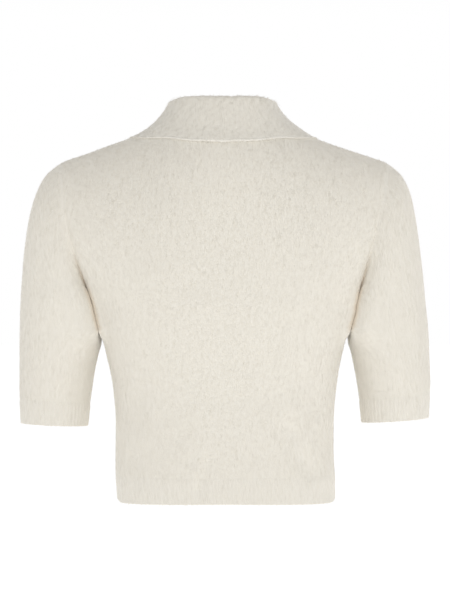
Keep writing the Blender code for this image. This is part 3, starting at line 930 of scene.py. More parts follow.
def mesh_object(
    name: str,
    points: np.ndarray,
    faces: np.ndarray,
    material: bpy.types.Material,
    maps: np.ndarray | None = None,
) -> bpy.types.Object:
    """A smooth-shaded object from arrays.

    Args:
        name: The object's name.
        points: Its points, in metres.
        faces: The corners of its faces, all of one number of sides.
        material: Its material.
        maps: A place on the cloth for each corner of each face, in metres.

    Returns:
        The new object, linked into the scene.
    """
    mesh = bpy.data.meshes.new(name)
    sides = faces.shape[1]
    mesh.vertices.add(len(points))
    mesh.vertices.foreach_set("co", points.astype(np.float32).ravel())
    mesh.loops.add(faces.size)
    mesh.loops.foreach_set("vertex_index", faces.astype(np.int32).ravel())
    mesh.polygons.add(len(faces))
    mesh.polygons.foreach_set("loop_start", np.arange(0, faces.size, sides, dtype=np.int32))
    mesh.update(calc_edges=True)
    mesh.shade_smooth()
    if maps is not None:
        layer = mesh.uv_layers.new(name="cloth")
        layer.data.foreach_set("uv", maps.astype(np.float32).ravel())
        mesh.set_sharp_from_angle(angle=RIM_ANGLE)
    mesh.materials.append(material)
    mesh.validate()
    piece = bpy.data.objects.new(name, mesh)
    bpy.context.scene.collection.objects.link(piece)
    return piece


def give(piece: bpy.types.Object, name: str, values: np.ndarray) -> None:
    """Gives a piece's mesh a value for each of its points, for its material to read."""
    attribute = piece.data.attributes.new(name, "FLOAT", "POINT")
    attribute.data.foreach_set("value", values.astype(np.float32).ravel())


# ---------------------------------------------------------------- brushed pile


class Spread(NamedTuple):
    """How far yarn ends depart from the usual in one respect, as shares of it."""

    deviation: float
    least: float
    most: float

    def drawn(self, chance: np.random.Generator, count: int) -> np.ndarray:
        """A share of the usual for each of a number of ends."""
        return np.clip(chance.normal(1.0, self.deviation, (count, 1)), self.least, self.most)


@dataclass(frozen=True)
class Locks:
    """The tufts that cling together, and stand out lighter or darker than the rest."""

    share: float = 0.21
    low_share: float = 0.15
    low_z: float = -190.0
    high_z: float = -60.0
    light_share: float = 0.6
    light: float = 3.8
    dark: float = -2.6
    scatter: float = 0.35
    length: float = 1.3
    lift: float = 1.6

    def drawn(self, z: np.ndarray, chance: np.random.Generator) -> tuple[np.ndarray, np.ndarray]:
        """Picks the locks among tufts, most of them high up on the garment.

        Args:
            z: The height of each tuft.
            chance: Where the picks come from.

        Returns:
            Whether each tuft is a lock, and how much lighter it is than the rest if it is one.
        """
        high = ramp(z, self.low_z, self.high_z)
        picked = chance.random(z.shape) < self.share * mix(self.low_share, 1.0, high)
        tone = np.where(chance.random(len(z)) < self.light_share, self.light, self.dark)
        return picked, tone * picked[:, 0]


class Tufts(NamedTuple):
    """Tufts of yarn ends, in arrays with a row for each."""

    root: np.ndarray
    up: np.ndarray
    heading: np.ndarray
    to_edge: np.ndarray
    lock: np.ndarray
    shade: np.ndarray
    # how deep each tuft lies in a crease, which turns its ends and sets their painted shade; below
    # 0, their painted highlight at an edge
    depth: np.ndarray

    def each(self, ends: int) -> Tufts:
        """The same values, once for each of the tufts' ends."""
        return Tufts(*(np.repeat(values, ends, axis=0) for values in self))


@dataclass(frozen=True)
class Pile:
    """The brushed yarn ends on a face: tufts of flat, tapering ends that lie down the cloth.

    Each end starts a little sunk in the cloth, rises to its bend and comes down to its tip, except
    for a few strays. In a crease the ends turn every way, and take on a share of its painted shade;
    along an edge they take on all of its painted highlight.
    """

    spacing: float = 2.9
    ends: int = 3
    # the shape of an end
    length: float = 5.6
    lengths: Spread = Spread(0.28, 0.35, 1.8)
    width: float = 0.3
    taper: float = 0.8
    lie: float = 0.5
    lifts: Spread = Spread(0.45, 0.15, 2.2)
    tip_lift: float = 1.3
    stray: float = 0.04
    stray_lift: float = 2.6
    # how far tufts and ends turn from the flow, and how the ends of a tuft spread and gather
    turn: float = 0.16
    unruly: float = 7.0
    scatter_aside: float = 0.9
    scatter_along: float = 1.2
    sunk: float = 0.15
    bend_at: float = 0.45
    gather_middle: float = 0.2
    gather_tip: float = 0.6
    curl: float = 0.5
    # how unlike in tone tufts and ends are
    tuft_tone: float = 0.6
    end_tone: float = 0.5
    # how much of a crease's painted shade the ends take on
    painted_shade_share: float = 0.8
    locks: Locks = Locks()
    # how far past the face's edge an end may reach
    overhang: float = 20.0
    # the steps across and up that spread tufts evenly without rows
    steps: tuple[float, float] = (0.7548776662, 0.5698402910)

    def scattered(self, area: np.ndarray, chance: np.random.Generator) -> tuple[np.ndarray, ...]:
        """Spreads tufts evenly over a grid of cells, with no two in line.

        Args:
            area: The area of each cell.
            chance: Where the spread starts from.

        Returns:
            The row and column of each tuft's cell, and its place across and up it.
        """
        order = np.arange(int(area.sum() / self.spacing**2))
        start = chance.random(2)
        across, up = ((start[k] + order * step) % 1.0 for k, step in enumerate(self.steps))
        in_row = area.sum(axis=1)
        row_ends = np.cumsum(in_row)
        i = np.minimum(np.searchsorted(row_ends, up * row_ends[-1]), len(in_row) - 1)
        before = row_ends[i] - in_row[i]
        v = (up * row_ends[-1] - before) / in_row[i]
        cell_ends = np.cumsum(area, axis=1) / in_row[:, None]
        j = np.minimum((cell_ends[i] < across[:, None]).sum(axis=1), area.shape[1] - 1)
        u = 1.0 - (cell_ends[i, j] - across) * in_row[i] / area[i, j]
        return i, j, u[:, None], v[:, None]

    def planted(
        self, face: np.ndarray, depth_and_painted_light: np.ndarray, flow: float, chance: np.random.Generator
    ) -> Tufts:
        """Plants tufts on a face, and has them lie down its columns.

        Args:
            face: The face's points, in rows and columns.
            depth_and_painted_light: The painted shade (above 0) and painted highlight (below 0) at
                each of them.
            flow: 1 where the pile lies up the rows and -1 where it lies down them.
            chance: Where the scatter comes from.

        Returns:
            The tufts.
        """
        first, beside, above = face[:-1, :-1], face[:-1, 1:], face[1:, :-1]
        i, j, u, v = self.scattered(norms(np.cross(beside - first, above - first)), chance)
        along = np.empty_like(face)
        along[:-1], along[-1] = face[1:] - face[:-1], face[-1] - face[-2]

        def at(values: np.ndarray) -> np.ndarray:
            """The values of a grid at the tufts."""
            low = mix(values[i, j], values[i, j + 1], u)
            return mix(low, mix(values[i + 1, j], values[i + 1, j + 1], u), v)

        root, up = at(face), unit(at(grid_normals(face, False)))
        edge = face[-1 if flow > 0 else 0]
        to_edge = norms(root - mix(edge[j], edge[j + 1], u), keep=True)
        down = unit(at(along)) * flow
        down = unit(down - up * dot(down, up))
        swing = chance.normal(0.0, self.turn, (len(i), 1))
        heading = down * np.cos(swing) + np.cross(up, down) * np.sin(swing)
        lock, tone = self.locks.drawn(root[:, 2:], chance)
        shade = chance.normal(0.0, self.tuft_tone, len(i)) + tone
        return Tufts(root, up, heading, to_edge, lock, shade, at(depth_and_painted_light[..., None]))

    def combed(self, each: Tufts, chance: np.random.Generator) -> np.ndarray:
        """Shapes the yarn ends: from a sunk root over a low bend to a tip that lies near the cloth.

        Args:
            each: The tufts' values for each end.
            chance: Where the ends' differences come from.

        Returns:
            Five points for each end: two at its root, two at its bend and its tip.
        """
        one = (len(each.root), 1)
        beside = np.cross(each.up, each.heading)
        offset = beside * chance.normal(0.0, self.scatter_aside, one)
        offset = offset * np.where(each.lock, self.locks.scatter, 1.0)
        start = each.root + offset + each.heading * chance.normal(0.0, self.scatter_along, one)
        start = start - each.up * self.sunk
        unruly = 1.0 + self.unruly * np.sqrt(np.maximum(each.depth, 0.0))
        swing = chance.normal(0.0, self.turn, one) * unruly
        way = each.heading * np.cos(swing) + beside * np.sin(swing)
        reach = self.length * self.lengths.drawn(chance, len(way))
        reach = reach * np.where(each.lock, self.locks.length, 1.0)
        reach = np.minimum(reach, each.to_edge + self.overhang * chance.random(one))
        lift = self.lie * self.lifts.drawn(chance, len(way))
        lift = lift * np.where(each.lock, self.locks.lift, 1.0)
        stray = chance.random(one) < self.stray
        low_lift = lift * chance.random(one) * self.tip_lift
        tip_lift = np.where(stray, lift * self.stray_lift, low_lift)
        middle = start + way * reach * self.bend_at + each.up * lift - offset * self.gather_middle
        curl = beside * chance.normal(0.0, self.curl, one)
        tip = start + way * reach + each.up * tip_lift - offset * self.gather_tip + curl
        broad = np.cross(each.up, way) * self.width / 2
        sides = [start - broad, start + broad]
        sides += [middle - broad * self.taper, middle + broad * self.taper]
        return np.stack([*sides, tip], axis=1)

    def grow(
        self,
        name: str,
        face: np.ndarray,
        ring: bool,
        flow: float,
        seed: int,
        sway: Sway,
        material: bpy.types.Material,
        depth_and_painted_light: np.ndarray | None = None,
    ) -> bpy.types.Object:
        """Grows the pile on a face.

        Args:
            name: The piece's name.
            face: The face's points, in rows and columns.
            ring: Whether its last column joins its first.
            flow: 1 where the pile lies up the rows and -1 where it lies down them.
            seed: What the scatter starts from.
            sway: The garment's sway.
            material: The pile's material.
            depth_and_painted_light: The painted shade and highlight of each of the face's points,
                as a cloth has it.

        Returns:
            The new object.
        """
        chance = np.random.default_rng(seed)
        depth_and_painted_light = np.zeros(face.shape[:2]) if depth_and_painted_light is None else depth_and_painted_light
        if ring:
            face = np.concatenate([face, face[:, :1]], axis=1)
            depth_and_painted_light = np.concatenate([depth_and_painted_light, depth_and_painted_light[:, :1]], axis=1)
        each = self.planted(face, depth_and_painted_light, flow, chance).each(self.ends)
        points = self.combed(each, chance)
        count, corners = points.shape[:2]
        first = np.arange(count)[:, None] * corners
        faces = np.concatenate([first + [0, 3, 1], first + [0, 2, 3], first + [2, 4, 3]])
        piece = mesh_object(name, sway.placed(points.reshape(-1, 3)), faces, material)
        tone = each.shade + chance.normal(0.0, self.end_tone, count)
        # painted shade: the ends take a share of a crease's; painted highlight: all of an edge's
        painted_light_share = np.where(each.depth > 0.0, each.depth * self.painted_shade_share, each.depth)
        give(piece, "tone", np.repeat(tone, corners))
        give(piece, "depth_and_painted_light", np.repeat(painted_light_share, corners))
        facing = np.repeat(each.up, corners, axis=0)
        piece.data.normals_split_custom_set_from_vertices(facing.tolist())
        return piece


# ---------------------------------------------------------------- finishes


class Nodes:
    """A material's nodes, made and joined in few words."""

    def __init__(self, name: str) -> None:
        """Starts a material with its Principled shader.

        Args:
            name: The material's name.
        """
        self.material = bpy.data.materials.new(name)
        self.material.use_nodes = True
        self.tree = self.material.node_tree
        self.shader = self.tree.nodes["Principled BSDF"]

    def add(self, kind: str, **inputs: object) -> bpy.types.Node:
        """Adds a node.

        Args:
            kind: Its type, without the shader node prefix.
            **inputs: Its properties, or its sockets by name or number (as in_0), each a value or
                another node's output.

        Returns:
            The node.
        """
        node = self.tree.nodes.new(f"ShaderNode{kind}")
        for name, value in inputs.items():
            if hasattr(node, name):
                setattr(node, name, value)
                continue
            key = int(name[3:]) if name.startswith("in_") else name
            socket = node.inputs[key]
            if isinstance(value, bpy.types.NodeSocket):
                self.tree.links.new(value, socket)
            else:
                socket.default_value = value
        return node

    def math(self, operation: str, *values: object) -> bpy.types.NodeSocket:
        """The output of a sum of numbers or outputs."""
        sockets = {f"in_{index}": value for index, value in enumerate(values)}
        return self.add("Math", operation=operation, **sockets).outputs[0]

    def blend(
        self, share: bpy.types.NodeSocket, first: bpy.types.NodeSocket | Colour, second: Colour
    ) -> bpy.types.NodeSocket:
        """The colour that lies at a share of the way from the first to the second.

        Args:
            share: The share, held between 0 and 1.
            first: A colour, or another node's output.
            second: A colour.

        Returns:
            The colour's output.
        """
        first = (*first, 1.0) if isinstance(first, tuple) else first
        colours = {"in_6": first, "in_7": (*second, 1.0)}
        mixed = self.add("Mix", data_type="RGBA", clamp_factor=True, in_0=share, **colours)
        return mixed.outputs[2]

    def noise(self, place: bpy.types.NodeSocket, grain: Grain) -> bpy.types.NodeSocket:
        """Noise stretched over the places on the cloth."""
        stretched = self.add("Mapping", Vector=place, Scale=(grain.across, grain.up, 1.0))
        cells = self.add("TexNoise", Vector=stretched.outputs[0], Scale=1.0, Detail=grain.detail)
        return cells.outputs[0]


class Gauge(NamedTuple):
    """How fine the knit is: the width of a wale and the height of a course, in metres."""

    wale: float
    course: float


class Grain(NamedTuple):
    """How fine a noise is across and up the cloth, in cells to the metre, and its finer layers."""

    across: float
    up: float
    detail: float


@dataclass(frozen=True)
class YarnFinish:
    """The soft, matt surface that all the yarn shares, in a light and a dark tone."""

    name: str
    light: Colour
    dark: Colour
    roughness: float
    specular: float = 0.2
    sheen: float = 1.0
    sheen_roughness: float = 0.6
    sheen_tint: Colour = (1.0, 0.97, 0.91)

    def toned(self, name: str, share: float, **changes: object) -> Self:
        """The same finish in another tone.

        Args:
            name: The new material's name.
            share: How light it is, as a share of this one.
            **changes: Other fields to change.

        Returns:
            The finish.
        """
        light, dark = (tuple(value * share for value in tone) for tone in (self.light, self.dark))
        return replace(self, name=name, light=light, dark=dark, **changes)

    def dressed(self, nodes: Nodes, share: bpy.types.NodeSocket) -> bpy.types.Material:
        """Sets the surface, with painted shade in a crease and a painted highlight at an edge, as
        the mesh says.

        Args:
            nodes: The material's nodes.
            share: How light the yarn is, from 0 to 1.

        Returns:
            The material.
        """
        depth_and_painted_light = nodes.add("Attribute", attribute_name="depth_and_painted_light").outputs["Fac"]
        colour = nodes.blend(share, self.dark, self.light)
        # painted shade: darker and browner deep in a crease
        colour = nodes.blend(depth_and_painted_light, colour, PAINTED_SHADE_COLOUR)
        # painted highlight: lighter along an edge, where the mesh's weight is below 0
        colour = nodes.blend(nodes.math("MULTIPLY", depth_and_painted_light, -1.0), colour, PAINTED_HIGHLIGHT_COLOUR)
        nodes.tree.links.new(colour, nodes.shader.inputs["Base Color"])
        for socket, value in {
            "Roughness": self.roughness,
            "Specular IOR Level": self.specular,
            "Sheen Weight": self.sheen,
            "Sheen Roughness": self.sheen_roughness,
            "Sheen Tint": (*self.sheen_tint, 1.0),
        }.items():
            nodes.shader.inputs[socket].default_value = value
        return nodes.material


@dataclass(frozen=True)
class KnitFinish(YarnFinish):
    """Brushed knit under its pile: small stitches, half hidden by streaks of felted yarn."""

    light: Colour = (0.830, 0.796, 0.722)
    dark: Colour = (0.755, 0.716, 0.634)
    roughness: float = 0.95
    gauge: Gauge = Gauge(0.0019, 0.0014)
    leg_slant: float = 0.9
    leg_wave: float = 0.4
    leg_level: float = 0.6
    streaks: Grain = Grain(1400.0, 170.0, 3.0)
    patches: Grain = Grain(60.0, 42.0, 2.0)
    least_share: float = 0.1
    streak_share: float = 0.6
    stitch_share: float = 0.2
    patch_share: float = 0.2
    bump_height: float = 0.00012
    stitch_bump: float = 0.6
    streak_bump: float = 0.8

    def build(self) -> bpy.types.Material:
        """Makes the material.

        Returns:
            The material.
        """
        nodes = Nodes(self.name)
        place = nodes.add("UVMap", uv_map="cloth").outputs[0]
        stitch, streak = self.stitches(nodes, place), nodes.noise(place, self.streaks)
        share = nodes.math("MULTIPLY_ADD", streak, self.streak_share, self.least_share)
        share = nodes.math("MULTIPLY_ADD", stitch, self.stitch_share, share)
        patch = nodes.noise(place, self.patches)
        share = nodes.math("MULTIPLY_ADD", patch, self.patch_share, share)
        high = {"Distance": self.bump_height}
        fine = nodes.add("Bump", Strength=self.stitch_bump, Height=stitch, **high).outputs[0]
        bump = nodes.add("Bump", Strength=self.streak_bump, Height=streak, Normal=fine, **high)
        nodes.tree.links.new(bump.outputs[0], nodes.shader.inputs["Normal"])
        return self.dressed(nodes, share)

    def stitches(self, nodes: Nodes, place: bpy.types.NodeSocket) -> bpy.types.NodeSocket:
        """The knit's V-shaped stitches: two slanting legs side by side in each wale.

        Args:
            nodes: The material's nodes.
            place: The place on the cloth.

        Returns:
            How high the yarn stands there.
        """
        parts = nodes.add("SeparateXYZ", in_0=place)
        over = nodes.math("DIVIDE", parts.outputs[0], self.gauge.wale)
        up = nodes.math("DIVIDE", parts.outputs[1], self.gauge.course)
        within = nodes.math("FRACT", over)
        side = nodes.math("ABSOLUTE", nodes.math("MULTIPLY_ADD", within, 2.0, -1.0))
        slant = nodes.math("MULTIPLY_ADD", side, self.leg_slant, up)
        wave = nodes.math("COSINE", nodes.math("MULTIPLY", slant, math.tau))
        leg = nodes.math("MULTIPLY_ADD", wave, self.leg_wave, self.leg_level)
        curve = nodes.math("POWER", nodes.math("MULTIPLY_ADD", side, 2.0, -1.0), 2.0)
        return nodes.math("MULTIPLY", leg, nodes.math("SUBTRACT", 1.0, curve))


@dataclass(frozen=True)
class PileFinish(YarnFinish):
    """Loose brushed yarn ends, a touch lighter than the cloth and not all alike."""

    light: Colour = (0.935, 0.905, 0.835)
    dark: Colour = (0.715, 0.676, 0.596)
    roughness: float = 0.9
    tone_share: float = 0.1
    middle_share: float = 0.5

    def build(self) -> bpy.types.Material:
        """Makes the material.

        Returns:
            The material.
        """
        nodes = Nodes(self.name)
        tone = nodes.add("Attribute", attribute_name="tone").outputs["Fac"]
        return self.dressed(
            nodes, nodes.math("MULTIPLY_ADD", tone, self.tone_share, self.middle_share)
        )


class Yarn(NamedTuple):
    """The two materials of a piece of cloth."""

    cloth: bpy.types.Material
    pile: bpy.types.Material


@dataclass(frozen=True)
class Dress:
    """The materials of the whole garment; the ribs and the folded collar are brushed less."""

    knit: Yarn
    rib: Yarn
    collar: Yarn

    @classmethod
    def made(cls) -> Dress:
        """Makes the garment's materials.

        Returns:
            The six of them, in pairs.
        """
        knit, pile = KnitFinish("brushed_knit"), PileFinish("brushed_pile")
        rib = knit.toned("ribbed_knit", share=0.97, gauge=Gauge(0.0024, 0.0014))
        rib_pile = pile.toned("rib_pile", share=0.99)
        # the collar's knit and pile are toned darker all over than the body's
        collar = knit.toned("collar_knit", share=0.895)
        collar_pile = pile.toned("collar_pile", share=0.895)
        pairs = ((knit, pile), (rib, rib_pile), (collar, collar_pile))
        return cls(*(Yarn(cloth.build(), fuzz.build()) for cloth, fuzz in pairs))


def declare(
    piece: bpy.types.Object,
    slot: Slot,
    node: str = "",
    flat: tuple[float, float] | None = None,
    area: float | None = None,
    held: str = "hung",
    rests_on: Sequence[str] = (),
    pile: bpy.types.Object | None = None,
) -> None:
    """Attaches a piece to the root, hides the solid that it stands for, and logs its triangles.

    Args:
        piece: The piece.
        slot: The material slot for its finish; not used.
        node: The solid that it stands for, if it stands for one.
        flat: The width and length that the cloth was knitted to, if it is a sheet; not used.
        area: Its flat area, where that isn't a rectangle; not used.
        held: How the sheet is held; not used.
        rests_on: What the sheet lies on or hangs from; not used.
        pile: The pile that grows on the sheet; not used.
    """
    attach(piece, ROOT)
    if node:
        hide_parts(node)
    triangles = sum(len(face.vertices) - 2 for face in piece.data.polygons)
    log.info("%s: %d triangles", piece.name, triangles)


# ---------------------------------------------------------------- the pieces


@dataclass
class Shell:
    """The outer faces of the trunk and the left sleeve, with the leans that their seams share."""

    trunk: TrunkForm = field(default_factory=TrunkForm)
    folds: Folds = field(default_factory=Folds)
    neck_columns: int = 34
    shoulder_columns: int = 46
    armhole_rows: int = 72
    side_rows: int = 64
    sleeve_rows: int = 92
    # how far the columns and rows crowd towards the armhole
    column_crowding: float = 1.45
    sleeve_crowding: float = 1.3
    # how much of the armhole is in the line where sleeve and trunk meet
    wall_step: int = 2
    wall_rows: int = 12
    # how far up from the underarm the sleeve closes on the trunk
    inner_to: float = 0.36
    inner_fade: float = 0.14
    # how alike two walls lean before their seam is mitred
    apart_from: float = -0.3
    together_from: float = 0.3
    least_mitre: float = 0.75
    outer: dict[Panel, np.ndarray] = field(init=False)
    lean: dict[Panel, np.ndarray] = field(init=False)
    # painted shade for each panel, in the crease under each arm
    depth_and_painted_light: dict[Panel, np.ndarray] = field(default_factory=dict)
    sleeve: np.ndarray = field(init=False)
    sleeve_lean: np.ndarray = field(init=False)
    side: np.ndarray = field(init=False)
    rise: np.ndarray = field(init=False)
    wall: np.ndarray = field(init=False)

    def __post_init__(self) -> None:
        """Works out the smooth faces and their leans, then presses the folds in."""
        self.side, self.rise = self.trunk.sleeve.stops(self.armhole_rows)
        places = crowded(self.sleeve_rows, self.sleeve_crowding) * self.trunk.sleeve.sleeve_end
        sleeve = self.trunk.sleeve.point(self.side[None], self.rise[None], places[:, None])
        self.outer = {panel: self.panel_grid(panel) for panel in Panel}
        self.wall = self.meeting(sleeve)
        foot = self.trunk.underarm_z
        self.lean = {}
        for panel, grid in self.outer.items():
            away = np.minimum(norms(grid - grid[:, [0]]), norms(grid - grid[:, [-1]]))
            full = self.folds.plumped(grid, np.sign(grid[..., 0]), away, self.wall, foot)
            self.outer[panel], self.lean[panel] = full, grid_normals(full, False) * -panel.value
        inner = 1.0 - eased((self.rise - self.inner_to) / self.inner_fade)
        away = norms(sleeve - sleeve[:1])
        aside = -np.broadcast_to(inner, sleeve.shape[:2])
        self.sleeve = self.folds.plumped(sleeve, aside, away, self.wall, foot)
        self.sleeve_lean = grid_normals(self.sleeve, True)
        self.square_seams()
        self.mitre_armholes()
        self.fold_panels()

    def columns(self, spread: float) -> np.ndarray:
        """Places across a panel from -1 to 1, close together at its armholes.

        Args:
            spread: 0 at the panel's foot and 1 at its top, where they crowd by the neck's side.

        Returns:
            The places.
        """
        place = np.linspace(0.0, 1.0, self.neck_columns + 1)
        neck = self.trunk.neck_share * mix(place, np.sin(place * np.pi / 2), spread)
        outwards = 1.0 - crowded(self.shoulder_columns, self.column_crowding)[::-1]
        half = np.concatenate([neck, mix(self.trunk.neck_share, 1.0, outwards)[1:]])
        return np.concatenate([-half[:0:-1], half])

    def panel_grid(self, panel: Panel) -> np.ndarray:
        """The smooth outer face of a panel, row by row from the hem band up.

        Args:
            panel: Which half of the trunk.

        Returns:
            The face's points, in rows and columns.
        """
        form = self.trunk
        rows = []
        for z in np.linspace(form.band_top, form.underarm_z, self.side_rows + 1)[:-1]:
            rows.append(form.ring_point(panel, self.columns(0.0), z))
        ends = form.neck_rise(panel, self.columns(1.0))
        for share in np.linspace(0.0, 1.0, self.armhole_rows + 1):
            across = self.columns(float(eased(share)))
            rows.append(form.chest_point(panel, across, share * ends))
        return np.stack(rows)

    def meeting(self, sleeve: np.ndarray) -> np.ndarray:
        """Where the left sleeve and the trunk meet under the arm.

        Args:
            sleeve: The sleeve's smooth face.

        Returns:
            Places x and z, from the lowest up: halfway between the two below the armhole, and
            along the armhole above its foot.
        """
        sideline = self.outer[Panel.BACK][: self.side_rows + 1, -1]
        armhole = self.outer[Panel.BACK][self.side_rows + 1 :, -1][:: self.wall_step]
        underarm = sleeve[::-1, 0]
        beside = np.interp(underarm[:, 2], sideline[:, 2], sideline[:, 0])
        below = np.stack([(underarm[:, 0] + beside) / 2, underarm[:, 2]], axis=-1)
        return np.concatenate([below, armhole[: self.wall_rows, [0, 2]]])

    def square_seams(self) -> None:
        """Turns each wall square to the shoulder and side seams, which run fore and aft."""
        shoulder = self.trunk.on_shoulder(self.columns(1.0))
        for lean in self.lean.values():
            sides = lean[: self.side_rows + 1]
            sides[:, [0, -1]] = squared(sides[:, [0, -1]])
            lean[-1, shoulder] = squared(lean[-1, shoulder])

    def mitre_armholes(self) -> None:
        """Leans the panels' and the sleeve's walls alike along the armhole."""
        rows = self.side_rows + np.round(self.rise * self.armhole_rows).astype(int)
        at_end = (self.rise == 0.0) | (self.rise == 1.0)
        other = self.sleeve_lean[0].copy()
        other[at_end] = squared(other[at_end])
        backs = (self.side > 0)[:, None]
        own = np.where(backs, self.lean[Panel.BACK][rows, -1], self.lean[Panel.FRONT][rows, -1])
        agreement = ramp(dot(own, other), self.apart_from, self.together_from)
        together = unit(own + other * agreement)
        reach = np.maximum(dot(together, own), self.least_mitre)
        shared = together / reach
        self.sleeve_lean[0] = shared
        for panel in Panel:
            lean = self.lean[panel]
            mine = (self.side == panel.value) | at_end
            lean[rows[mine], -1] = shared[mine]
            lean[self.side_rows :, 0] = across_middle(lean[self.side_rows :, -1])

    def fold_panels(self) -> None:
        """Sinks the creases, the seams and the pits under the arms into the two panels, and paints
        shade in the crease under each arm.
        """
        rises = np.linspace(0.0, 1.0, self.armhole_rows + 1)
        for panel, grid in self.outer.items():
            smooth, lean = grid.copy(), self.lean[panel]
            folds = self.folds
            sunk = folds.pressed(folds.trunk, np.full(grid.shape[:2], panel.value), smooth)
            sunk = sunk + folds.swell(smooth)
            # painted shade: darkest where sleeve and trunk touch and deep in the pit under the arm
            depth_and_painted_light = folds.near(smooth, self.wall, self.trunk.underarm_z)
            below = (np.arange(len(grid)) <= self.side_rows)[:, None]
            for edge in (0, -1):
                away = norms(smooth - smooth[:, [edge]])
                touch = folds.touch(smooth[..., 2], away) * below
                seam = mix(folds.seam(away), -folds.touch_rise, touch)
                sunk = sunk * eased(away / folds.seam_fade) + seam
                sunk = sunk + folds.parted(smooth[..., 2], away) * below
            grid -= lean * sunk[..., None]
            chest = smooth[self.side_rows :]
            for edge in (0, -1):
                pit = folds.pit(rises[:, None], norms(chest - chest[:, [edge]]))
                grid[self.side_rows :, :, 1] -= panel.value * pit
                depth_and_painted_light[self.side_rows :] += pit / folds.pit_depth
            self.depth_and_painted_light[panel] = np.clip(depth_and_painted_light, 0.0, 1.0)

    def folded_sleeve(self, mirror: bool) -> tuple[np.ndarray, np.ndarray]:
        """The outer face of one sleeve, with its folds.

        Args:
            mirror: Whether it is the right sleeve, whose creases have x below zero.

        Returns:
            The left or the right sleeve's face, both as on the left, and the painted shade of each
            of its points, by how deep it lies in the crease under the arm and how near it comes to
            the trunk.
        """
        folds, smooth = self.folds, self.sleeve
        flip = -1.0 if mirror else 1.0
        creases = [
            crease._replace(x1=crease.x1 * flip, x2=crease.x2 * flip)
            for crease in folds.sleeves
            if crease.x1 * flip > 0
        ]
        side = np.broadcast_to(self.side[None], smooth.shape[:2])
        waves = folds.swell(smooth * np.array([flip, 1.0, 1.0]))
        sunk = folds.pressed(creases, side, smooth) + waves
        away, to_cuff = norms(smooth - smooth[:1]), norms(smooth - smooth[-1:])
        to_under = norms(smooth - smooth[:, :1])
        touch = folds.touch(smooth[..., 2], to_under)
        seam = mix(folds.seam(away), -folds.touch_rise, touch)
        sunk = sunk * eased(away / folds.seam_fade) * eased(to_cuff / folds.cuff_fade)
        sunk += seam + folds.parted(smooth[..., 2], to_under)
        pit = folds.pit(self.rise[None], away)
        face = smooth - self.sleeve_lean * sunk[..., None]
        face[..., 1] -= side * pit
        # painted shade, by the pit's depth and how near the sleeve comes to the trunk
        near = folds.near(smooth, self.wall, self.trunk.underarm_z)
        return face, np.clip(pit / folds.pit_depth + near, 0.0, 1.0)


class Seed(Enum):
    """What each piece's pile is scattered from."""

    BACK = 11
    FRONT = 12
    SLEEVE_LEFT = 13
    SLEEVE_RIGHT = 14
    COLLAR = 15
    HEM_BACK = 16
    HEM_FRONT = 17
    CUFF_LEFT = 18
    CUFF_RIGHT = 19


@dataclass
class Sewn:
    """A part of the garment, cut from one yarn, with what all the parts share."""

    shell: Shell
    sway: Sway
    yarn: Yarn
    slot: Slot = Slot.KNIT
    flow: float = 1.0
    pile: Pile = Pile()

    def build(self) -> None:
        """Builds the part's pieces; each part has its own way."""
        raise NotImplementedError

    def sew(
        self,
        node: str,
        cloth: Cloth,
        seed: Seed,
        name: str = "",
        face: np.ndarray | None = None,
        depth_and_painted_light: np.ndarray | None = None,
        **sheet: object,
    ) -> None:
        """Builds a piece of cloth with its pile, and declares both.

        Args:
            node: The solid that the piece stands for.
            cloth: Its cloth.
            seed: What its pile is scattered from.
            name: The shell's name, if it isn't the node's with the word shell.
            face: The face that the pile grows on, if it isn't all of the cloth's outer one.
            depth_and_painted_light: The painted shade and highlight of that face's points.
            **sheet: The sheet's flat size and area, and how it is held.
        """
        if face is None:
            face, depth_and_painted_light = cloth.outer(), cloth.depth_and_painted_light
        shell = cloth.build(name or f"{node}_shell", self.sway, self.yarn.cloth)
        pile = self.pile.grow(
            f"{node}_pile",
            face,
            cloth.ring,
            self.flow,
            seed.value,
            self.sway,
            self.yarn.pile,
            depth_and_painted_light,
        )
        declare(pile, self.slot)
        declare(shell, self.slot, node, pile=pile, **sheet)


@dataclass
class Trunk(Sewn):
    """The back and front panels."""

    flow: float = -1.0
    flat: tuple[float, float] = (0.42, 0.44)
    back_area: float = 0.160
    front_area: float = 0.165

    def build(self) -> None:
        """Builds both panels and their pile."""
        for panel, seed, area in (
            (Panel.BACK, Seed.BACK, self.back_area),
            (Panel.FRONT, Seed.FRONT, self.front_area),
        ):
            shell, node = self.shell, panel.name.lower()
            grid, lean, depth_and_painted_light = shell.outer[panel], shell.lean[panel], shell.depth_and_painted_light[panel]
            if panel is Panel.BACK:
                grid, lean, depth_and_painted_light = grid[:, ::-1], lean[:, ::-1], depth_and_painted_light[:, ::-1]
            cloth = Cloth.under(grid, lean, False, depth_and_painted_light)
            self.sew(node, cloth, seed, f"{node}_panel", flat=self.flat, area=area)


@dataclass
class Sleeves(Sewn):
    """The two short sleeves, set into the armholes."""

    flat: tuple[float, float] = (0.33, 0.29)
    area: float = 0.062

    def build(self) -> None:
        """Builds both sleeves and their pile."""
        for node, seed, mirror in (
            ("sleeve_left", Seed.SLEEVE_LEFT, False),
            ("sleeve_right", Seed.SLEEVE_RIGHT, True),
        ):
            (grid, depth_and_painted_light), lean = self.shell.folded_sleeve(mirror), self.shell.sleeve_lean
            if mirror:
                grid, lean, depth_and_painted_light = mirrored(grid), mirrored(lean), depth_and_painted_light[:, ::-1]
            cloth = Cloth.under(grid, lean, True, depth_and_painted_light)
            self.sew(node, cloth, seed, flat=self.flat, area=self.area)


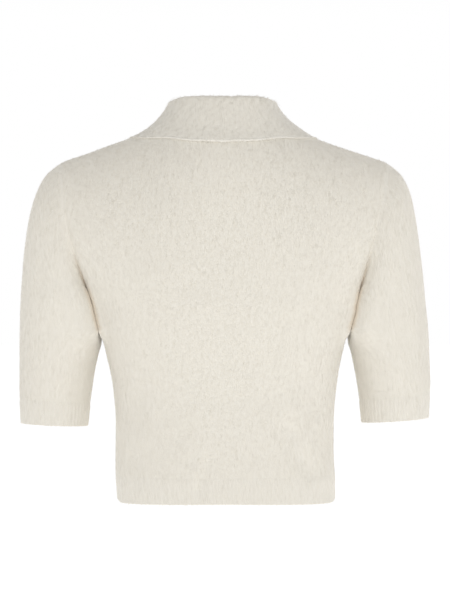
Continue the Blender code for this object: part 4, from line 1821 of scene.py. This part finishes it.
@dataclass(frozen=True)
class Ribs:
    """Raised ribs, side by side along a row, that flatten out where the band meets the panel."""

    count: int
    height: float
    steps: int = 6
    roundness: float = 0.8
    fade: float = 0.2

    def places(self) -> np.ndarray:
        """Places along the row, from 0 to 1."""
        return np.linspace(0.0, 1.0, self.count * self.steps + 1)

    def raised(self, places: np.ndarray) -> np.ndarray:
        """How far the ribs stand out at places along the row."""
        return self.height * (0.5 - 0.5 * np.cos(places * self.count * math.tau)) ** self.roundness


@dataclass
class RibbedPart(Sewn):
    """A ribbed part, whose yarn is brushed short."""

    slot: Slot = Slot.RIB
    pile: Pile = Pile(spacing=3.1, length=4.0, lie=0.4, overhang=0.8)


@dataclass
class HemBand(RibbedPart):
    """The ribbed band at the hem, in two halves that meet at the side seams."""

    flow: float = -1.0
    ribs: Ribs = Ribs(59, 0.32)
    rows: int = 14
    half_round: float = 300.0
    corner: float = 3.0
    drop_power: float = 1.4
    flat: tuple[float, float] = (0.36, 0.032)

    def build(self) -> None:
        """Builds both halves and their pile."""
        form, folds = self.shell.trunk, self.shell.folds
        places = self.ribs.places()
        heights = np.linspace(form.hem_z, form.band_top, self.rows + 1)[:, None]
        up = (heights - form.hem_z) / (form.band_top - form.hem_z)
        ribbed = 1.0 - eased((up - (1.0 - self.ribs.fade)) / self.ribs.fade)
        raised = self.ribs.raised(places)[None] * ribbed
        clear = eased(np.minimum(places, 1.0 - places)[None] * self.half_round / folds.seam_fade)
        for panel, seed in ((Panel.BACK, Seed.HEM_BACK), (Panel.FRONT, Seed.HEM_FRONT)):
            across = (places * 2.0 - 1.0)[None]
            grid = form.ring_point(panel, *np.broadcast_arrays(across, heights))
            lean = grid_normals(grid, False) * -panel.value
            lean[:, [0, -1]] = squared(lean[:, [0, -1]])
            sunk = folds.pressed(folds.trunk, np.full(grid.shape[:2], panel.value), grid)
            sunk = sunk * clear + folds.swell(grid) * clear - raised
            out = np.abs(grid[..., 0]) / form.hem_half_width
            corner = self.corner * bell((1.0 - out) * form.hem_half_width, self.corner)
            grid[..., 2] -= (form.hem_drop * out**self.drop_power - corner) * (1.0 - up)
            grid = grid - lean * sunk[..., None]
            if panel is Panel.BACK:
                grid, lean = grid[:, ::-1], lean[:, ::-1]
            cloth = Cloth.under(grid, lean, False)
            cloth.round_edges(bottom=True)
            self.sew(f"hem_rib_{panel.name.lower()}", cloth, seed, flat=self.flat)


@dataclass
class Cuffs(RibbedPart):
    """The ribbed cuffs at the sleeves' ends."""

    ribs: Ribs = Ribs(52, 0.5)
    rows: int = 12
    flat: tuple[float, float] = (0.262, 0.031)

    def build(self) -> None:
        """Builds both cuffs and their pile."""
        form = self.shell.trunk.sleeve
        places = self.ribs.places()[:-1]
        side = np.where(places < 0.5, 1.0, -1.0)[None]
        rise = (1.0 - np.abs(places * 2.0 - 1.0))[None]
        along = np.linspace(form.sleeve_end, form.cuff_end, self.rows + 1)[:, None]
        grid = form.point(side, rise, along)
        lean = grid_normals(grid, True)
        down = (along - form.sleeve_end) / (form.cuff_end - form.sleeve_end)
        raised = self.ribs.raised(places)[None] * eased(down / self.ribs.fade)
        grid = grid + lean * raised[..., None]
        for node, seed, mirror in (
            ("cuff_left", Seed.CUFF_LEFT, False),
            ("cuff_right", Seed.CUFF_RIGHT, True),
        ):
            own = (mirrored(grid), mirrored(lean)) if mirror else (grid, lean)
            cloth = Cloth.under(*own, True)
            cloth.round_edges(top=True)
            self.sew(node, cloth, seed, flat=self.flat)


@dataclass
class Collar(Sewn):
    """The fold-over collar: one strip with a stand, a soft fold and a leaf."""

    pile: Pile = Pile(length=4.6, overhang=3.2)
    rows: tuple[CollarRow, ...] = (
        CollarRow(0.000, 0.0, 66.0, 33.0, 0.0, 78.5, -22.3, 4, 22),
        CollarRow(0.125, 25.0, 62.0, 33.2, 36.7, 72.0, -19.6, 5, 26),
        CollarRow(0.250, 45.0, 48.5, 33.0, 71.3, 53.0, -14.2, 12, 38),
        CollarRow(0.375, 56.8, 28.0, 30.8, 99.2, 30.0, -12.3, 23, 58),
        CollarRow(0.500, 61.0, 5.0, 27.8, 112.5, 3.0, -13.0, 31, 69),
        CollarRow(0.600, 54.5, -46.0, 9.0, 115.5, -33.0, -22.0, 34, 62),
        CollarRow(0.700, 40.5, -67.5, -21.0, 109.0, -60.0, -43.0, 28, 48),
        CollarRow(0.800, 28.5, -78.0, -43.5, 99.0, -78.0, -66.0, 24, 42),
        CollarRow(0.900, 16.0, -86.5, -64.0, 87.0, -91.0, -88.0, 22, 41),
        CollarRow(1.000, 6.5, -94.0, -81.5, 74.0, -100.0, -107.0, 22, 41),
    )
    # how much of the neckline the strip is sewn to, and how it rises and folds from there
    reach: float = 0.95
    fullness: float = 0.38
    fold_radius: float = 3.5
    above_neckline: float = 0.2
    # how the leaf lies on the trunk, away from a heart within it
    clearance: float = -0.4
    softness: float = 1.0
    most_soft: float = 30.0
    heart_share: float = 0.6
    heart_z: float = -200.0
    rest_power: int = 4
    # how much thinner the leaf is at its edge, and where round the neck
    thinned: float = 0.6
    thin_from: float = 0.34
    thin_by: float = 0.7
    thin_back: float = 0.5
    thin_fade: float = 0.2
    bead: float = 0.5
    # the painted highlight along its edge: how strong and how wide, and where round the neck it
    # weakens
    painted_edge_highlight: float = 0.34
    edge_width: float = 3.8
    edge_from: float = 0.3
    edge_fade: float = 0.2
    edge_fall: float = 0.7
    # how many lines above the stand have no creases, and no pile
    smooth_lines: int = 2
    bare_lines: int = 3
    places: int = 96
    stand_rows: int = 7
    fold_rows: int = 9
    leaf_rows: int = 26
    step: float = 0.02
    flat: tuple[float, float] = (0.50, 0.115)
    area: float = 0.052

    def crest(self, share: np.ndarray) -> np.ndarray:
        """The crest of the fold.

        Args:
            share: From 0 at the middle of the back to 1 at the front; below 0 on the right.

        Returns:
            The points.
        """
        place = np.abs(share)
        x, y, z = (read(self.rows, name, place) for name in ("fold_x", "fold_y", "fold_z"))
        return stacked(np.copysign(x, share), y, z)

    def neck_edge(self) -> tuple[np.ndarray, np.ndarray]:
        """The left half of the neckline, from the V's bottom round to the middle of the back.

        Returns:
            The middle of the wall's edge, and the way on from there in line with the wall.
        """
        shell = self.shell
        middle = shell.outer[Panel.BACK].shape[1] // 2
        count = shell.neck_columns
        tops, leans = [], []
        round_back = range(count - 1, -1, -1)
        for panel, steps in ((Panel.FRONT, range(count + 1)), (Panel.BACK, round_back)):
            for step in steps:
                tops.append(shell.outer[panel][-1, middle + step])
                leans.append(shell.lean[panel][-1, middle + step])
        top, lean = np.array(tops), np.array(leans)
        after = np.concatenate([top[1:], top[-1:]])
        before = np.concatenate([top[:1], top[:-1]])
        return top - lean * WALL / 2, unit(np.cross(lean, after - before))

    def section(self) -> np.ndarray:
        """The left half's middle surface: up the stand, over the fold and down the leaf.

        Returns:
            The points, with a row for each place along the collar and a column for each line.
        """
        share = np.linspace(0.0, 1.0, self.places + 1)
        fold = self.crest(share)
        tip = stacked(*(read(self.rows, name, share) for name in ("edge_x", "edge_y", "edge_z")))
        along = unit(self.crest(np.minimum(share + self.step, 1.0)) - self.crest(share - self.step))
        up = unit(np.array([0.0, 0.0, 1.0]) - along * along[:, 2:])
        out = tip - fold
        out = unit(out - along * dot(out, along) - up * dot(out, up))
        centre = fold - up * (WALL / 2 + self.fold_radius)
        start, end = centre - out * self.fold_radius, centre + out * self.fold_radius
        edge, ways = self.neck_edge()
        at = (1.0 - share * self.reach) * (len(edge) - 1)
        slot = np.minimum(at.astype(int), len(edge) - 2)
        part = (at - slot)[:, None]
        rim = mix(edge[slot], edge[slot + 1], part)
        on = unit(mix(ways[slot], ways[slot + 1], part))
        base = rim + on * self.above_neckline
        lines = [mix(base, start, k / self.stand_rows) for k in range(self.stand_rows)]
        for turned in np.linspace(0.0, math.pi, self.fold_rows + 1):
            spoke = up * math.sin(turned) - out * math.cos(turned)
            lines.append(centre + spoke * self.fold_radius)
        reach = norms(tip - end, keep=True) * self.fullness
        falls = []
        for name in ("fall", "spread"):
            angle = np.radians(read(self.rows, name, share))[:, None]
            falls.append(out * np.sin(angle) - up * np.cos(angle))
        near, far = end + falls[0] * reach, tip - falls[1] * reach
        for t in np.linspace(0.0, 1.0, self.leaf_rows + 1)[1:]:
            rest = 1.0 - t
            upper, lower = end * rest**3 + near * 3 * rest**2 * t, far * 3 * rest * t**2
            lines.append(upper + lower + tip * t**3)
        return np.stack(lines, axis=1)

    def laid(self, half: np.ndarray, thickness: np.ndarray) -> np.ndarray:
        """Lays the leaf clear of the trunk, its edge at rest over the shoulders and the front.

        Args:
            half: The left half's middle surface.
            thickness: How thick it is there, as a share of the cloth's thickness.

        Returns:
            The same surface, lifted and lowered.
        """
        points, faces = [], []
        for grid in self.shell.outer.values():
            rows, columns = grid.shape[:2]
            first = len(points)
            points += [Vector(point) for point in grid.reshape(-1, 3)]
            for i in range(rows - 1):
                for j in range(columns - 1):
                    a = first + i * columns + j
                    faces.append((a, a + 1, a + columns + 1, a + columns))
        body = BVHTree.FromPolygons(points, faces)
        leaf_from = self.stand_rows + self.fold_rows
        lifted = half.copy()
        count = half.shape[1] - 1 - leaf_from
        for place, line in enumerate(half):
            for index in range(leaf_from, half.shape[1]):
                near, normal, _, _ = body.find_nearest(Vector(line[index]))
                heart = Vector((near.x * self.heart_share, 0.0, self.heart_z))
                if normal.dot(near - heart) < 0:
                    normal = -normal
                above = (Vector(line[index]) - near).dot(normal)
                least = CLOTH / 2 * thickness[place, index] + self.clearance
                over = min((above - least) / self.softness, self.most_soft)
                height = least + self.softness * math.log1p(math.exp(over))
                low = ((index - leaf_from) / count) ** self.rest_power
                height = mix(height, least, low)
                lifted[place, index] = line[index] + np.array(normal) * (height - above)
        return lifted

    def thickness(self, lines: int) -> np.ndarray:
        """The left half's thickness as a share of the cloth's: the leaf is thinner at its edge.

        Args:
            lines: How many lines the section has.

        Returns:
            A share for each place along the collar and each line.
        """
        share = np.linspace(0.0, 1.0, self.places + 1)[:, None]
        down = eased((np.arange(lines) - self.stand_rows - self.fold_rows) / self.leaf_rows)
        back = self.thin_back * eased((share - self.thin_by) / self.thin_fade)
        aside = eased(share / self.thin_from) * (1.0 - back)
        return 1.0 - self.thinned * aside * down[None]

    def build(self) -> None:
        """Builds the collar and its pile."""
        section = self.section()
        thickness = self.thickness(section.shape[1])
        half = self.laid(section, thickness)
        middle = np.concatenate([half[::-1], across_middle(half[1:])])
        lean = grid_normals(middle, False)
        folds = self.shell.folds
        sunk = folds.pressed(folds.collar, np.where(middle[..., 1] > 0, 1, -1), middle)
        sunk[:, : self.stand_rows + self.smooth_lines] = 0.0
        cloth = Cloth(middle - lean * sunk[..., None], lean, False)
        cloth.half *= np.concatenate([thickness[::-1], thickness[1:]])
        cloth.round_edges(bottom=True, top=True)
        cloth.transpose()
        cloth.round_edges(top=True, bead=self.bead)
        cloth.transpose()
        # a painted highlight along the leaf's edge, strongest across the back, for the cloth and
        # its pile
        to_edge = norms(cloth.middle - cloth.middle[:, -1:])
        share = np.abs(np.linspace(-1.0, 1.0, 2 * self.places + 1))
        fall = self.edge_fall * eased((share - self.edge_from) / self.edge_fade)
        light = self.painted_edge_highlight * (1.0 - fall)
        light = np.concatenate([np.repeat(light[:1], len(to_edge) - len(light)), light])
        cloth.depth_and_painted_light = -light[:, None] * bell(to_edge, self.edge_width)
        face, light = (
            values[:, self.stand_rows + self.bare_lines :].swapaxes(0, 1)[:, ::-1]
            for values in (cloth.outer(), cloth.depth_and_painted_light)
        )
        sheet = {"flat": self.flat, "area": self.area, "held": "folded"}
        panels = ("back_panel", "front_panel")
        self.sew("collar", cloth, Seed.COLLAR, face=face, depth_and_painted_light=light, rests_on=panels, **sheet)


# ---------------------------------------------------------------- the studio


@dataclass(frozen=True)
class Studio:
    """A pale floor, soft light from all round and a long lens at the height of the chest."""

    camera_distance: float = 2.8
    camera_z: float = -0.2076
    lens: float = 140.0
    sensor: float = 36.0
    floor_z: float = -0.85
    floor_radius: float = 30.0
    floor_sides: int = 96
    floor_colour: Colour = (0.93, 0.93, 0.92)
    floor_roughness: float = 0.9
    floor_glow: float = 0.5
    horizon: float = 1.0
    horizon_to: float = 0.12
    zenith: float = 0.40
    zenith_from: float = 0.9
    lamp_size: float = 2.4
    key_watts: float = 29.6
    key_place: Place = (-1.3, 3.5, -0.5)
    fill_watts: float = 20.0
    fill_place: Place = (0.7, -3.6, -0.1)

    def build(self) -> None:
        """Builds the floor, the light and the camera."""
        self.build_floor()
        self.build_sky()
        self.build_lamp("key_lamp", self.key_place, self.key_watts)
        self.build_lamp("fill_lamp", self.fill_place, self.fill_watts)
        self.build_camera()

    def build_floor(self) -> None:
        """Builds the floor."""
        bpy.ops.mesh.primitive_circle_add(
            vertices=self.floor_sides,
            radius=self.floor_radius,
            fill_type="NGON",
            location=(0.0, 0.0, self.floor_z),
        )
        floor = bpy.context.object
        floor.name = "floor"
        nodes = Nodes("pale_floor")
        for socket, value in {
            "Base Color": (*self.floor_colour, 1.0),
            "Roughness": self.floor_roughness,
            "Emission Color": WHITE,
            "Emission Strength": self.floor_glow,
        }.items():
            nodes.shader.inputs[socket].default_value = value
        floor.data.materials.append(nodes.material)

    def build_sky(self) -> None:
        """Builds the light from all round, brightest at the horizon."""
        world = bpy.data.worlds.new("studio")
        bpy.context.scene.world = world
        world.use_nodes = True
        tree = world.node_tree
        place = tree.nodes.new("ShaderNodeTexCoord")
        parts = tree.nodes.new("ShaderNodeSeparateXYZ")
        level = tree.nodes.new("ShaderNodeMapRange")
        for socket, value in {
            "From Min": self.horizon_to,
            "From Max": self.zenith_from,
            "To Min": self.horizon,
            "To Max": self.zenith,
        }.items():
            level.inputs[socket].default_value = value
        background = tree.nodes["Background"]
        background.inputs["Color"].default_value = WHITE
        tree.links.new(place.outputs["Generated"], parts.inputs[0])
        tree.links.new(parts.outputs[2], level.inputs["Value"])
        tree.links.new(level.outputs[0], background.inputs["Strength"])

    def build_lamp(self, name: str, place: Place, watts: float) -> None:
        """Builds a broad lamp that looks at the garment.

        Args:
            name: The lamp's name.
            place: Where it stands.
            watts: Its power.
        """
        light = bpy.data.lights.new(name, "AREA")
        light.size = self.lamp_size
        light.energy = watts
        lamp = bpy.data.objects.new(name, light)
        lamp.location = place
        to_garment = Vector((0.0, 0.0, self.camera_z)) - Vector(place)
        lamp.rotation_euler = to_garment.to_track_quat("-Z", "Y").to_euler()
        lamp.visible_camera = False
        bpy.context.scene.collection.objects.link(lamp)

    def build_camera(self) -> None:
        """Builds the camera, level and square on to the garment's back."""
        lens = bpy.data.cameras.new("camera")
        lens.lens = self.lens
        lens.sensor_fit = "VERTICAL"
        lens.sensor_height = self.sensor
        camera = bpy.data.objects.new("camera", lens)
        camera.location = (0.0, self.camera_distance, self.camera_z)
        camera.rotation_euler = (math.pi / 2, 0.0, math.pi)
        bpy.context.scene.collection.objects.link(camera)
        bpy.context.scene.camera = camera
        bpy.context.scene.view_settings.view_transform = "Standard"


def main() -> None:
    """Builds the studio and the sweater, piece by piece."""
    logging.basicConfig(level=logging.INFO, format="%(name)s: %(message)s")
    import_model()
    Studio().build()
    dress, sway, shell = Dress.made(), Sway(), Shell()
    for part in (
        Trunk(shell, sway, dress.knit),
        Sleeves(shell, sway, dress.knit),
        HemBand(shell, sway, dress.rib),
        Cuffs(shell, sway, dress.rib),
        Collar(shell, sway, dress.collar),
    ):
        part.build()
        log.info("%s done", type(part).__name__)


if __name__ == "__main__":
    main()
